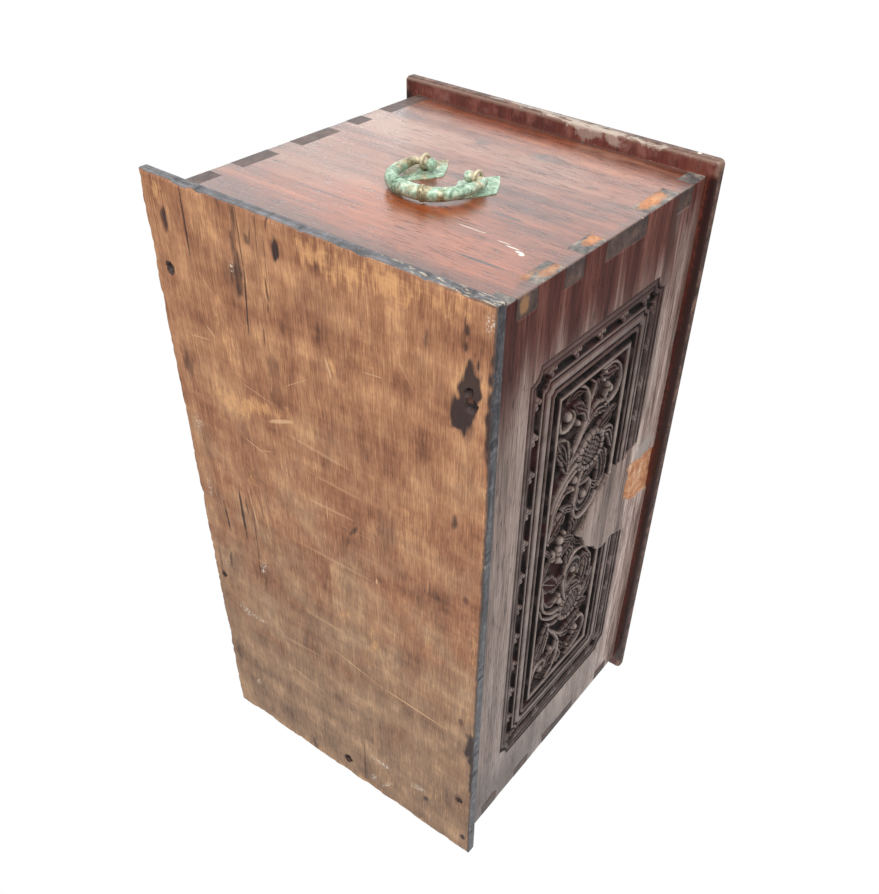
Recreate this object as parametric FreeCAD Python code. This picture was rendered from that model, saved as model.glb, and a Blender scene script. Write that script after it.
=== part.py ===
"""Dovetailed coffer chest with a carved front, an overhanging hinged lid and bronze bail handles.

Frame: +X along the length (to the right seen from the front), -Y is the carved front, +Z up.
The origin is under the middle of the chest, on the surface that it stands on. Millimetres.
"""
import FreeCAD
import Part
import math
import os

from FreeCAD import Vector

# ---------------------------------------------------------------- driving dimensions
# The four walls, measured over their outsides
CARCASS_LENGTH = 600.0
CARCASS_DEPTH = 306.0
CARCASS_HEIGHT = 304.0
FRONT_WALL = 16.0          # thickness of the front and back boards
END_WALL = 16.5            # thickness of the two end boards
CORNER_WEAR = 1.5          # rounding of the four upright corners

# The bottom board, nailed on from below, stands proud all round
BASE_THICK = 10.0
BASE_PROUD_END = 13.0
BASE_PROUD_FRONT = 10.0
BASE_PROUD_BACK = 15.0
BASE_CORNER = 6.0
BASE_ARRIS = 1.6

# The lid: a wide panel with a rail tongued and nailed to its front and back edges
LID_THICK = 11.0
LID_PROUD_END = 14.5
LID_PROUD_FRONT = 10.5
LID_PROUD_BACK = 15.0
LID_CORNER = 5.0
LID_ARRIS = 3.2
FRONT_RAIL = 16.0
BACK_RAIL = 23.0
TONGUE_THICK = 4.0
TONGUE_LENGTH = 5.0
GROOVE_SPARE = 0.3

# Through dovetails: the end boards carry the pins, (middle as a share of the height, width)
FRONT_PINS = ((0.13, 24.0), (0.325, 25.0), (0.57, 61.0), (0.885, 24.0))
BACK_PINS = ((0.18, 22.0), (0.39, 26.0), (0.625, 22.0), (0.77, 25.0))
PIN_FLARE = 2.0            # how much wider a pin is on its inner side, over both flanks

# Carved panel in the front: nested frames with re-entrant corners, then the sunk ground
PANEL_HALF_LENGTH = 233.0
PANEL_RISE = 52.0          # from the lower edge of the front board to the panel
PANEL_HEIGHT = 207.0
# (distance in from the panel's outline, depth below the board's face, corner notch radius)
PANEL_STEPS = (
    (0.0, 0.9, 13.0),      # outer fillet
    (7.0, 4.2, 11.0),      # sunk border row
    (20.0, 0.8, 9.0),      # twin bead
    (27.0, 1.8, 7.0),      # broad band
    (37.5, 4.8, 4.0),      # deep hollow
    (47.5, 2.4, 0.0),      # inner bead
    (53.5, 6.5, 0.0),      # ground of the foliage
)

# Plain lobed place left standing for a lock plate, from the panel's upper edge downwards
LOCK_TOP = 56.0            # half-widths
LOCK_NECK = 48.0
LOCK_BELLY = 51.0
LOCK_WAIST = 39.0
LOCK_LOBE = 21.0
LOCK_NECK_DROP = 25.0      # drops below the panel's upper edge
LOCK_BELLY_DROP = 43.0
LOCK_WAIST_DROP = 59.0
LOCK_LOBE_DROP = 81.0
LOCK_TIP_DROP = 95.0

# Bail handles on the two ends
HANDLE_HEIGHT = 157.0      # eyes above the lower edge of the walls
POST_SPACING = 52.0
EYE_HOLE_R = 4.0
EYE_WIRE = 2.9
EYE_SINK = 0.5             # lowest point of the eye above the board
SHANK_R = 2.1
SHANK_HOLE_CLEAR = 0.15
TAIL_LENGTH = 15.0
TAIL_WIDTH = 3.6
TAIL_THICK = 1.4
PLATE_HALF_WIDTH = 18.5
PLATE_HALF_HEIGHT = 31.0
PLATE_EDGE = 0.7
PLATE_CROWN = 1.3
PLATE_TABLE = 0.35         # size of the raised middle as a share of the plate
PLATE_HOLE_R = 3.0
PIVOT_R = 2.7
PIVOT_REST = 0.3           # running gap between the bail's pivot and the bottom of the eye
BALL_R = 4.7
BALL_INSET = 7.2           # from the middle of the eye to the middle of the ball
BAIL_HALF_SPAN = 35.0      # from the middle of the handle to the middle of an arm
BAIL_DROP = 51.5
BAIL_SHOULDER_R = 5.0
BAIL_SQUARENESS = 2.5      # exponent of the bail's superellipse
ARM_R = 3.7
GRIP_R = 5.8
COLLAR_OFFSET = 12.5
COLLAR_WIDTH = 2.4
COLLAR_RISE = 0.7

# Butt hinges in the angle under the lid's back overhang
HINGE_INSET = 110.0        # from the end of the walls to the middle of a hinge
KNUCKLES = 5
KNUCKLE_LENGTH = 11.0
KNUCKLE_GAP = 0.3
BARREL_R = 3.0
HINGE_PIN_R = 1.5
PIN_CLEAR = 0.05
PIN_HEAD_R = 2.2
PIN_HEAD_THICK = 1.2
BARREL_AIR = 0.3           # between the barrel and the wood
LEAF_THICK = 1.3
WALL_LEAF_DROP = 17.0
LID_LEAF_REACH = 10.5
LEAF_CORNER = 1.5
LEAF_NAIL_OFFSETS = (-20.0, 0.0, 20.0)
LEAF_NAIL_R = 1.0
LEAF_NAIL_HEAD_R = 2.0
LEAF_NAIL_LENGTH = 9.0

# Nails
BASE_NAIL_R = 1.4
BASE_NAIL_HEAD_R = 2.9
BASE_NAIL_HEAD_THICK = 1.0
BASE_NAIL_LENGTH = 26.0
BASE_NAIL_SUNK = 0.6
FRONT_NAILS = (-0.793, -0.17, 0.35, 0.763, 0.963)    # shares of half the walls' length
BACK_NAILS = (-0.93, -0.793, 0.343, 0.74)
LEFT_NAILS = (-0.784, 0.176, 0.36)                   # shares of half the walls' depth
RIGHT_NAILS = (0.0, 0.64)
RAIL_NAIL_R = 1.2
RAIL_NAIL_HEAD_R = 2.1
RAIL_NAIL_HEAD_THICK = 0.8
RAIL_NAIL_BITE = 15.0      # how far a rail nail goes into the panel
RAIL_NAIL_COUNT = 5
RAIL_NAIL_END = 34.0       # from the end of the lid to the first nail

# ---------------------------------------------------------------- places that follow
LID_LENGTH = CARCASS_LENGTH + 2 * LID_PROUD_END
LID_DEPTH = LID_PROUD_FRONT + CARCASS_DEPTH + LID_PROUD_BACK
BASE_LENGTH = CARCASS_LENGTH + 2 * BASE_PROUD_END
BASE_DEPTH = BASE_PROUD_FRONT + CARCASS_DEPTH + BASE_PROUD_BACK

LEFT = -CARCASS_LENGTH / 2
RIGHT = CARCASS_LENGTH / 2
FRONT = -LID_DEPTH / 2 + LID_PROUD_FRONT
BACK = FRONT + CARCASS_DEPTH
FLOOR = BASE_THICK                       # lower edge of the walls
RIM = FLOOR + CARCASS_HEIGHT             # upper edge of the walls, underside of the lid
MIDDLE_Y = (FRONT + BACK) / 2

EYE_R = EYE_HOLE_R + EYE_WIRE
EYE_STAND = EYE_R + EYE_SINK             # middle of the eye above the end board
EYE_Z = FLOOR + HANDLE_HEIGHT
PIVOT_Z = EYE_Z - (EYE_HOLE_R - PIVOT_R - PIVOT_REST)
HINGE_Y = BACK + BARREL_R + BARREL_AIR
HINGE_Z = RIM - BARREL_R - BARREL_AIR
HINGE_LENGTH = KNUCKLES * KNUCKLE_LENGTH
HINGE_SPREAD = CARCASS_LENGTH - 2 * HINGE_INSET     # between the middles of the two hinges
PANEL_FOOT = FLOOR + PANEL_RISE

X_AXIS = Vector(1, 0, 0)
Y_AXIS = Vector(0, 1, 0)
Z_AXIS = Vector(0, 0, 1)


# ---------------------------------------------------------------- small helpers
def block(x0, x1, y0, y1, z0, z1):
    """A box between two corners, given in any order."""
    low = Vector(min(x0, x1), min(y0, y1), min(z0, z1))
    return Part.makeBox(abs(x1 - x0), abs(y1 - y0), abs(z1 - z0), low)


def rod(radius, start, end):
    """A round bar from one point to another."""
    along = end - start
    return Part.makeCylinder(radius, along.Length, start, along)


def nail(point, into, shank_r, head_r, head_thick, length):
    """A nail whose head's outer face lies at point and whose shank goes in the direction into."""
    head = rod(head_r, point, point + into * head_thick)
    straight = 0.75 * length
    shank = rod(shank_r, point, point + into * straight)
    tip = Part.makeCone(shank_r, 0.2 * shank_r, length - straight, point + into * straight, into)
    return head.fuse([shank, tip]).removeSplitter()


def rounded_slab(x0, x1, y0, y1, z0, z1, corner, arris):
    """A board with rounded corners in plan and eased upper and lower edges."""
    slab = block(x0, x1, y0, y1, z0, z1)
    upright = [e for e in slab.Edges if abs(e.tangentAt(e.FirstParameter).z) > 0.9]
    slab = slab.makeFillet(corner, upright)
    rims = [e for e in slab.Edges if abs(e.BoundBox.ZMax - e.BoundBox.ZMin) < 1e-6]
    return slab.makeFillet(arris, rims)


def cut_all(shape, tools):
    """A shape with a list of tools taken out of it."""
    return shape.cut(tools).removeSplitter() if tools else shape


def export(name, shape):
    """Write one piece, or one group of like pieces, to its own file."""
    shape.exportStep("parts/" + name + ".step")


# ---------------------------------------------------------------- the four dovetailed walls
def pin_prism(side, share, width, y_outer, y_inner):
    """One dovetail pin of an end board: side is -1 for the left end and 1 for the right end.

    It fills the corner from the outer face of the front or back board to that board's inner
    face, and it is narrower at the end of the chest than on its inner side.
    """
    middle = FLOOR + share * CARCASS_HEIGHT
    x_outer = side * CARCASS_LENGTH / 2
    x_inner = x_outer - side * END_WALL
    narrow = width / 2
    wide = narrow + PIN_FLARE / 2
    corners = [
        Vector(x_outer, y_outer, middle - narrow),
        Vector(x_outer, y_outer, middle + narrow),
        Vector(x_inner, y_outer, middle + wide),
        Vector(x_inner, y_outer, middle - wide),
    ]
    face = Part.Face(Part.makePolygon(corners + corners[:1]))
    return face.extrude(Vector(0, y_inner - y_outer, 0))


def wall_pins(side, pins, y_outer, y_inner):
    """All pins of one corner."""
    return [pin_prism(side, share, width, y_outer, y_inner) for share, width in pins]


def worn_envelope():
    """The outside of the four walls, with the upright corners eased."""
    box = block(LEFT, RIGHT, FRONT, BACK, FLOOR, RIM)
    upright = [e for e in box.Edges if abs(e.tangentAt(e.FirstParameter).z) > 0.9]
    return box.makeFillet(CORNER_WEAR, upright)


def long_wall(y_outer, y_inner, pins):
    """The front or back board: full length, with sockets for the pins of both ends."""
    board = block(LEFT, RIGHT, y_outer, y_inner, FLOOR, RIM)
    sockets = []
    for side in (-1, 1):
        sockets += wall_pins(side, pins, y_outer, y_inner)
    return board.cut(sockets).common(worn_envelope())


def end_wall(side):
    """An end board: it fits between the long boards and its pins fill their sockets."""
    x_outer = side * CARCASS_LENGTH / 2
    board = block(x_outer, x_outer - side * END_WALL, FRONT + FRONT_WALL, BACK - FRONT_WALL,
                  FLOOR, RIM)
    pins = wall_pins(side, FRONT_PINS, FRONT, FRONT + FRONT_WALL)
    pins += wall_pins(side, BACK_PINS, BACK, BACK - FRONT_WALL)
    return board.fuse(pins).removeSplitter().common(worn_envelope())


# ---------------------------------------------------------------- the carved panel
def notched_outline(inset, notch):
    """A rectangle in the board's plane with a quarter circle bitten out of each corner."""
    half = PANEL_HALF_LENGTH - inset
    low = PANEL_FOOT + inset
    high = PANEL_FOOT + PANEL_HEIGHT - inset
    if notch == 0:
        corners = [(-half, low), (half, low), (half, high), (-half, high), (-half, low)]
        return Part.makePolygon([Vector(x, FRONT, z) for x, z in corners])
    bite = notch * math.sqrt(0.5)
    edges = []
    turns = [(1, low, 1), (1, high, -1), (-1, high, -1), (-1, low, 1)]
    last = Vector(-half + notch, FRONT, low)
    first = last
    for sx, z, sz in turns:
        beside = Vector(sx * (half - notch), FRONT, z)
        above = Vector(sx * half, FRONT, z + sz * notch)
        deep = Vector(sx * (half - bite), FRONT, z + sz * bite)
        start, end = (beside, above) if sx * sz > 0 else (above, beside)
        edges.append(Part.LineSegment(last, start).toShape())
        edges.append(Part.Arc(start, deep, end).toShape())
        last = end
    if (last - first).Length > 1e-6:
        edges.append(Part.LineSegment(last, first).toShape())
    return Part.Wire(edges)


def sunk(wire, depth):
    """The space taken out of the board inside an outline, down to a depth."""
    spare = 2.0
    prism = Part.Face(wire).extrude(Vector(0, depth + spare, 0))
    return prism.translated(Vector(0, -spare, 0))


def lock_place():
    """The lobed island left at full height where a lock plate would lie, with a pointed foot."""
    top = PANEL_FOOT + PANEL_HEIGHT
    above = top + 5.0

    def at(x, drop):
        return Vector(x, FRONT, top - drop)

    def half(side):
        neck = at(side * LOCK_NECK, LOCK_NECK_DROP)
        waist = at(side * LOCK_WAIST, LOCK_WAIST_DROP)
        lobe = at(side * LOCK_LOBE, LOCK_LOBE_DROP)
        tip = at(0, LOCK_TIP_DROP)
        low_x = (LOCK_WAIST + LOCK_LOBE) / 2 + 3.0
        low_drop = (LOCK_WAIST_DROP + LOCK_LOBE_DROP) / 2 + 2.0
        foot_drop = (LOCK_LOBE_DROP + LOCK_TIP_DROP) / 2 + 3.0
        return [
            Part.LineSegment(at(side * LOCK_TOP, 0), neck).toShape(),
            Part.Arc(neck, at(side * LOCK_BELLY, LOCK_BELLY_DROP), waist).toShape(),
            Part.Arc(waist, at(side * low_x, low_drop), lobe).toShape(),
            Part.Arc(lobe, at(side * LOCK_LOBE / 2, foot_drop), tip).toShape(),
        ]

    lid_side = [Vector(-LOCK_TOP, FRONT, top), Vector(-LOCK_TOP, FRONT, above),
                Vector(LOCK_TOP, FRONT, above), Vector(LOCK_TOP, FRONT, top)]
    edges = Part.makePolygon(lid_side).Edges + half(1) + half(-1)
    wire = Part.Wire(Part.sortEdges(edges)[0])
    deepest = max(depth for _, depth, _ in PANEL_STEPS)
    return Part.Face(wire).extrude(Vector(0, deepest + 1.0, 0))


def carve_panel(board):
    """Sink the nested frames and the ground, and leave the lock's place standing."""
    island = lock_place()
    for index, (inset, depth, notch) in enumerate(PANEL_STEPS):
        band = sunk(notched_outline(inset, notch), depth)
        if index + 1 < len(PANEL_STEPS):
            inner_inset, _, inner_notch = PANEL_STEPS[index + 1]
            band = band.cut(sunk(notched_outline(inner_inset, inner_notch), depth + 1.0))
        board = board.cut(band.cut(island))
    return board.removeSplitter()


# ---------------------------------------------------------------- bottom board and lid
def base_slab():
    """The bottom board before its nail holes."""
    return rounded_slab(-BASE_LENGTH / 2, BASE_LENGTH / 2, FRONT - BASE_PROUD_FRONT,
                        BACK + BASE_PROUD_BACK, 0, BASE_THICK, BASE_CORNER, BASE_ARRIS)


def lid_slab():
    """The whole lid, before it is parted into panel and rails."""
    return rounded_slab(-LID_LENGTH / 2, LID_LENGTH / 2, FRONT - LID_PROUD_FRONT,
                        BACK + LID_PROUD_BACK, RIM, RIM + LID_THICK, LID_CORNER, LID_ARRIS)


def lid_parts():
    """Panel, front rail and back rail, joined by tongues along both joints."""
    slab = lid_slab()
    reach = LID_LENGTH
    joint_front = -LID_DEPTH / 2 + FRONT_RAIL
    joint_back = LID_DEPTH / 2 - BACK_RAIL
    mid = RIM + LID_THICK / 2
    low = mid - TONGUE_THICK / 2
    high = mid + TONGUE_THICK / 2
    stop = LID_LENGTH / 2 - LID_ARRIS - TONGUE_LENGTH
    front_side = block(-reach, reach, -reach, joint_front, 0, reach)
    back_side = block(-reach, reach, joint_back, reach, 0, reach)
    tongues = []
    grooves = []
    for joint, way in ((joint_front, -1), (joint_back, 1)):
        tongues.append(block(-stop, stop, joint, joint + way * TONGUE_LENGTH, low, high))
        deep = joint + way * (TONGUE_LENGTH + GROOVE_SPARE)
        grooves.append(block(-stop, stop, joint, deep, low, high))
    panel = slab.cut([front_side, back_side]).fuse(tongues).removeSplitter()
    front_rail = slab.common(front_side).cut(grooves[0])
    back_rail = slab.common(back_side).cut(grooves[1])
    return panel, front_rail, back_rail


# ---------------------------------------------------------------- nails
def base_nail_points():
    """Where the nails go up through the bottom board into the lower edges of the walls."""
    z = BASE_NAIL_SUNK
    points = []
    for y, shares in ((FRONT + FRONT_WALL / 2, FRONT_NAILS), (BACK - FRONT_WALL / 2, BACK_NAILS)):
        points += [Vector(share * CARCASS_LENGTH / 2, y, z) for share in shares]
    for x, shares in ((LEFT + END_WALL / 2, LEFT_NAILS), (RIGHT - END_WALL / 2, RIGHT_NAILS)):
        points += [Vector(x, MIDDLE_Y + share * CARCASS_DEPTH / 2, z) for share in shares]
    return points


def base_nails():
    """The nails of the bottom board, heads driven a little below its surface."""
    return [nail(p, Z_AXIS, BASE_NAIL_R, BASE_NAIL_HEAD_R, BASE_NAIL_HEAD_THICK,
                 BASE_NAIL_LENGTH) for p in base_nail_points()]


def base_nail_mouths():
    """The dents above the sunk nail heads."""
    return [rod(BASE_NAIL_HEAD_R, p - Z_AXIS * (BASE_NAIL_SUNK + 1), p)
            for p in base_nail_points()]


def rail_nails():
    """Nails through the outer edge of each lid rail into the panel."""
    nails = []
    first = -LID_LENGTH / 2 + RAIL_NAIL_END
    step = -2 * first / (RAIL_NAIL_COUNT - 1)
    z = RIM + LID_THICK / 2
    for edge, into, width in ((-LID_DEPTH / 2, Y_AXIS, FRONT_RAIL),
                              (LID_DEPTH / 2, -Y_AXIS, BACK_RAIL)):
        for index in range(RAIL_NAIL_COUNT):
            point = Vector(first + index * step, edge, z)
            nails.append(nail(point, into, RAIL_NAIL_R, RAIL_NAIL_HEAD_R,
                              RAIL_NAIL_HEAD_THICK, width + RAIL_NAIL_BITE))
    return nails


# ---------------------------------------------------------------- bail handles
def eye_point(side, row):
    """Middle of an eye: side is the end of the chest, row is -1 at the front and 1 at the back."""
    x = side * (CARCASS_LENGTH / 2 + EYE_STAND)
    return Vector(x, MIDDLE_Y + row * POST_SPACING / 2, EYE_Z)


def split_post(side, row):
    """A split pin: its eye outside, its shank through the end board, its two tails clenched."""
    middle = eye_point(side, row)
    eye = Part.makeTorus(EYE_HOLE_R + EYE_WIRE / 2, EYE_WIRE / 2, middle, Y_AXIS)
    inner = side * (CARCASS_LENGTH / 2 - END_WALL)
    root = Vector(side * (CARCASS_LENGTH / 2 + EYE_SINK + EYE_WIRE / 2), middle.y, middle.z)
    end = Vector(inner - side * TAIL_THICK, middle.y, middle.z)
    shank = rod(SHANK_R, root, end)
    tails = []
    for way in (-1, 1):
        wide = TAIL_WIDTH / 2
        narrow = TAIL_WIDTH / 5
        far = middle.z + way * TAIL_LENGTH
        outline = [Vector(inner, middle.y - wide, middle.z), Vector(inner, middle.y - narrow, far),
                   Vector(inner, middle.y + narrow, far), Vector(inner, middle.y + wide, middle.z)]
        face = Part.Face(Part.makePolygon(outline + outline[:1]))
        tails.append(face.extrude(Vector(-side * TAIL_THICK, 0, 0)))
    return eye.fuse([shank] + tails).removeSplitter()


def shank_hole(side, row):
    """The bore of an end board for one split pin."""
    middle = eye_point(side, row)
    start = Vector(side * (CARCASS_LENGTH / 2 + 1), middle.y, middle.z)
    return rod(SHANK_R + SHANK_HOLE_CLEAR, start, start - X_AXIS * side * (END_WALL + 2))


def lozenge(x, middle, share):
    """A lozenge outline with gently bowed sides in the plane of the end board."""
    bow = 1.06
    tips = [(0, 1), (1, 0), (0, -1), (-1, 0)]
    edges = []
    for index, (y0, z0) in enumerate(tips):
        y1, z1 = tips[(index + 1) % 4]
        points = []
        for y, z in ((y0, z0), ((y0 + y1) / 2 * bow, (z0 + z1) / 2 * bow), (y1, z1)):
            points.append(Vector(x, middle.y + y * share * PLATE_HALF_WIDTH,
                                 middle.z + z * share * PLATE_HALF_HEIGHT))
        edges.append(Part.Arc(*points).toShape())
    return Part.Wire(edges)


def back_plate(side, row):
    """A lozenge plate with a low raised middle, pierced for the split pin."""
    middle = eye_point(side, row)
    wall = side * CARCASS_LENGTH / 2
    flat = Part.Face(lozenge(wall, middle, 1.0)).extrude(Vector(side * PLATE_EDGE, 0, 0))
    crown = Part.makeLoft([lozenge(wall + side * PLATE_EDGE, middle, 1.0),
                           lozenge(wall + side * PLATE_CROWN, middle, PLATE_TABLE)], True)
    plate = flat.fuse(crown)
    start = Vector(wall, middle.y, middle.z)
    return plate.cut(rod(PLATE_HOLE_R, start, start + X_AXIS * side * 5)).removeSplitter()


def bow_point(angle):
    """A point of the bail's bow: across from its middle, and down from the pivot."""
    power = 2 / BAIL_SQUARENESS
    reach = BAIL_DROP - BAIL_SHOULDER_R
    across = math.copysign(abs(math.cos(angle)) ** power, math.cos(angle)) * BAIL_HALF_SPAN
    down = BAIL_SHOULDER_R + reach * math.sin(angle) ** power
    return across, down


def ring_section(x, across, down, turn, radius):
    """A round section of the bail, square to its middle line, which runs at the angle turn."""
    centre = Vector(x, MIDDLE_Y + across, PIVOT_Z - down)
    along = Vector(0, math.cos(turn), -math.sin(turn))
    return Part.Wire(Part.makeCircle(radius, centre, along))


def bail(side):
    """A bail hanging in its two eyes: pivots with ball ends, shoulders, arms and a full grip."""
    x = side * (CARCASS_LENGTH / 2 + EYE_STAND)
    sections = []
    for share in (0.0, 0.5):
        turn = share * math.pi / 2
        across = BAIL_HALF_SPAN - BAIL_SHOULDER_R * (1 - math.sin(turn))
        down = BAIL_SHOULDER_R * (1 - math.cos(turn))
        radius = PIVOT_R + share * (ARM_R - PIVOT_R)
        sections.append((across, down, turn, radius))
    steps = 16
    for index in range(steps + 1):
        angle = math.pi * (0.06 + 0.88 * index / steps)
        across, down = bow_point(angle)
        before = bow_point(angle - 0.01)
        after = bow_point(angle + 0.01)
        turn = math.atan2(after[1] - before[1], after[0] - before[0])
        radius = ARM_R + (GRIP_R - ARM_R) * math.sin(angle) ** 0.8
        sections.append((across, down, turn, radius))
    for share in (0.5, 0.0):
        turn = share * math.pi / 2
        across = -BAIL_HALF_SPAN + BAIL_SHOULDER_R * (1 - math.sin(turn))
        down = BAIL_SHOULDER_R * (1 - math.cos(turn))
        radius = PIVOT_R + share * (ARM_R - PIVOT_R)
        sections.append((across, down, math.pi - turn, radius))
    wires = [ring_section(x, *section) for section in sections]
    pieces = [Part.makeLoft(wires, True, False)]
    for row in (-1, 1):
        ball_y = MIDDLE_Y + row * (POST_SPACING / 2 - BALL_INSET)
        arm_y = MIDDLE_Y + row * (BAIL_HALF_SPAN - BAIL_SHOULDER_R)
        ball_at = Vector(x, ball_y, PIVOT_Z)
        pieces.append(Part.makeSphere(BALL_R, ball_at))
        pieces.append(rod(PIVOT_R, ball_at, Vector(x, arm_y, PIVOT_Z)))
        pieces.append(bail_collar(x, row))
    return pieces[0].fuse(pieces[1:]).removeSplitter()


def bail_collar(x, row):
    """One turned collar on the grip, square to the bow at its own place."""
    low, high = 0.0, math.pi / 2
    for _ in range(40):
        angle = (low + high) / 2
        if bow_point(angle)[0] > COLLAR_OFFSET:
            low = angle
        else:
            high = angle
    across, down = bow_point(angle)
    ahead = bow_point(angle + 0.01)
    along = Vector(0, row * (ahead[0] - across), down - ahead[1]).normalize()
    centre = Vector(x, MIDDLE_Y + row * across, PIVOT_Z - down)
    radius = ARM_R + (GRIP_R - ARM_R) * math.sin(angle) ** 0.8 + COLLAR_RISE
    half = along * COLLAR_WIDTH / 2
    return rod(radius, centre - half, centre + half)


# ---------------------------------------------------------------- butt hinges
def knuckle_spans(middle_x, on_wall):
    """The stretches of the barrel that belong to one leaf: the wall leaf has the end ones."""
    start = middle_x - HINGE_LENGTH / 2
    spans = []
    for index in range(KNUCKLES):
        if (index % 2 == 0) == on_wall:
            x0 = start + index * KNUCKLE_LENGTH + KNUCKLE_GAP / 2
            spans.append((x0, x0 + KNUCKLE_LENGTH - KNUCKLE_GAP))
    return spans


def leaf_plate(middle_x, on_wall):
    """The flat of a leaf with its two outer corners rounded."""
    x0 = middle_x - HINGE_LENGTH / 2
    x1 = middle_x + HINGE_LENGTH / 2
    if on_wall:
        low = HINGE_Z - WALL_LEAF_DROP
        plate = block(x0, x1, BACK, BACK + LEAF_THICK, low, HINGE_Z)
        outer = [e for e in plate.Edges
                 if abs(e.tangentAt(e.FirstParameter).y) > 0.9 and e.BoundBox.ZMax < low + 1e-6]
    else:
        far = HINGE_Y + LID_LEAF_REACH
        plate = block(x0, x1, HINGE_Y, far, RIM - LEAF_THICK, RIM)
        outer = [e for e in plate.Edges
                 if abs(e.tangentAt(e.FirstParameter).z) > 0.9 and e.BoundBox.YMin > far - 1e-6]
    return plate.makeFillet(LEAF_CORNER, outer)


def hinge_leaf(middle_x, on_wall):
    """A leaf with its knuckles, cleared round the knuckles of the other leaf."""
    leaf = leaf_plate(middle_x, on_wall)
    own = []
    for x0, x1 in knuckle_spans(middle_x, on_wall):
        own.append(rod(BARREL_R, Vector(x0, HINGE_Y, HINGE_Z), Vector(x1, HINGE_Y, HINGE_Z)))
    other = []
    for x0, x1 in knuckle_spans(middle_x, not on_wall):
        start = Vector(x0 - KNUCKLE_GAP, HINGE_Y, HINGE_Z)
        end = Vector(x1 + KNUCKLE_GAP, HINGE_Y, HINGE_Z)
        other.append(rod(BARREL_R + BARREL_AIR, start, end))
    length = HINGE_LENGTH
    bore = rod(HINGE_PIN_R + PIN_CLEAR, Vector(middle_x - length, HINGE_Y, HINGE_Z),
               Vector(middle_x + length, HINGE_Y, HINGE_Z))
    return leaf.cut(other).fuse(own).removeSplitter().cut(bore)


def hinge_pin(middle_x):
    """The hinge's pin with a small head at each end."""
    ends = []
    for way in (-1, 1):
        ends.append(Vector(middle_x + way * HINGE_LENGTH / 2, HINGE_Y, HINGE_Z))
    heads = [rod(PIN_HEAD_R, ends[0] - X_AXIS * PIN_HEAD_THICK, ends[0]),
             rod(PIN_HEAD_R, ends[1], ends[1] + X_AXIS * PIN_HEAD_THICK)]
    return rod(HINGE_PIN_R, ends[0], ends[1]).fuse(heads).removeSplitter()


def leaf_nails(on_wall):
    """The nails of the wall leaves or of the lid leaves of both hinges."""
    nails = []
    for middle_x in (-HINGE_SPREAD / 2, HINGE_SPREAD / 2):
        for offset in LEAF_NAIL_OFFSETS:
            if on_wall:
                point = Vector(middle_x + offset, BACK + LEAF_THICK,
                               HINGE_Z - (BARREL_R + WALL_LEAF_DROP) / 2)
                into = -Y_AXIS
            else:
                point = Vector(middle_x + offset, HINGE_Y + (BARREL_R + LID_LEAF_REACH) / 2,
                               RIM - LEAF_THICK)
                into = Z_AXIS
            nails.append(nail(point, into, LEAF_NAIL_R, LEAF_NAIL_HEAD_R, 0.6 * LEAF_THICK,
                              LEAF_NAIL_LENGTH))
    return nails


# ---------------------------------------------------------------- put the chest together
def main():
    os.makedirs("parts", exist_ok=True)
    sides = (("left", -1), ("right", 1))
    rows = (("front", -1), ("back", 1))

    under_nails = base_nails()
    wall_leaf_nails = leaf_nails(True)
    lid_leaf_nails = leaf_nails(False)
    edge_nails = rail_nails()

    export("front_board", cut_all(carve_panel(long_wall(FRONT, FRONT + FRONT_WALL, FRONT_PINS)),
                                  under_nails))
    export("back_board", cut_all(long_wall(BACK, BACK - FRONT_WALL, BACK_PINS),
                                 under_nails + wall_leaf_nails))
    for end, side in sides:
        holes = [shank_hole(side, row) for _, row in rows]
        export(end + "_end_board", cut_all(end_wall(side), under_nails + holes))
    export("bottom_board", cut_all(base_slab(), under_nails + base_nail_mouths()))
    export("bottom_nails", Part.makeCompound(under_nails))

    panel, front_rail, back_rail = lid_parts()
    export("lid_panel", cut_all(panel, edge_nails))
    export("lid_front_rail", cut_all(front_rail, edge_nails))
    export("lid_back_rail", cut_all(back_rail, edge_nails + lid_leaf_nails))
    export("lid_rail_nails", Part.makeCompound(edge_nails))

    for end, side in sides:
        export(end + "_bail", bail(side))
        for place, row in rows:
            export(end + "_" + place + "_split_pin", split_post(side, row))
            export(end + "_" + place + "_lozenge_plate", back_plate(side, row))

    for end, side in sides:
        middle_x = side * HINGE_SPREAD / 2
        wall_leaf = hinge_leaf(middle_x, True)
        lid_leaf = hinge_leaf(middle_x, False)
        export(end + "_hinge_wall_leaf", cut_all(wall_leaf, wall_leaf_nails))
        export(end + "_hinge_lid_leaf", cut_all(lid_leaf, lid_leaf_nails))
        export(end + "_hinge_pin", hinge_pin(middle_x))
    export("wall_leaf_nails", Part.makeCompound(wall_leaf_nails))
    export("lid_leaf_nails", Part.makeCompound(lid_leaf_nails))


main()
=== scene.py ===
# %% [markdown]
# A carved coffer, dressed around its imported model
# The chest is a dovetailed box of red-brown hardwood. Its boards, hinges and handles come in at
# their real size as the frame. This notebook gives each board its worn surface: the carving of
# the front, the bare scuffed bottom, the varnish of the ends, and green bronze on the handles.
# Everything is in metres, with +X along the chest, -Y the carved front and +Z up.

# %% Load the frame
import math

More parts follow.
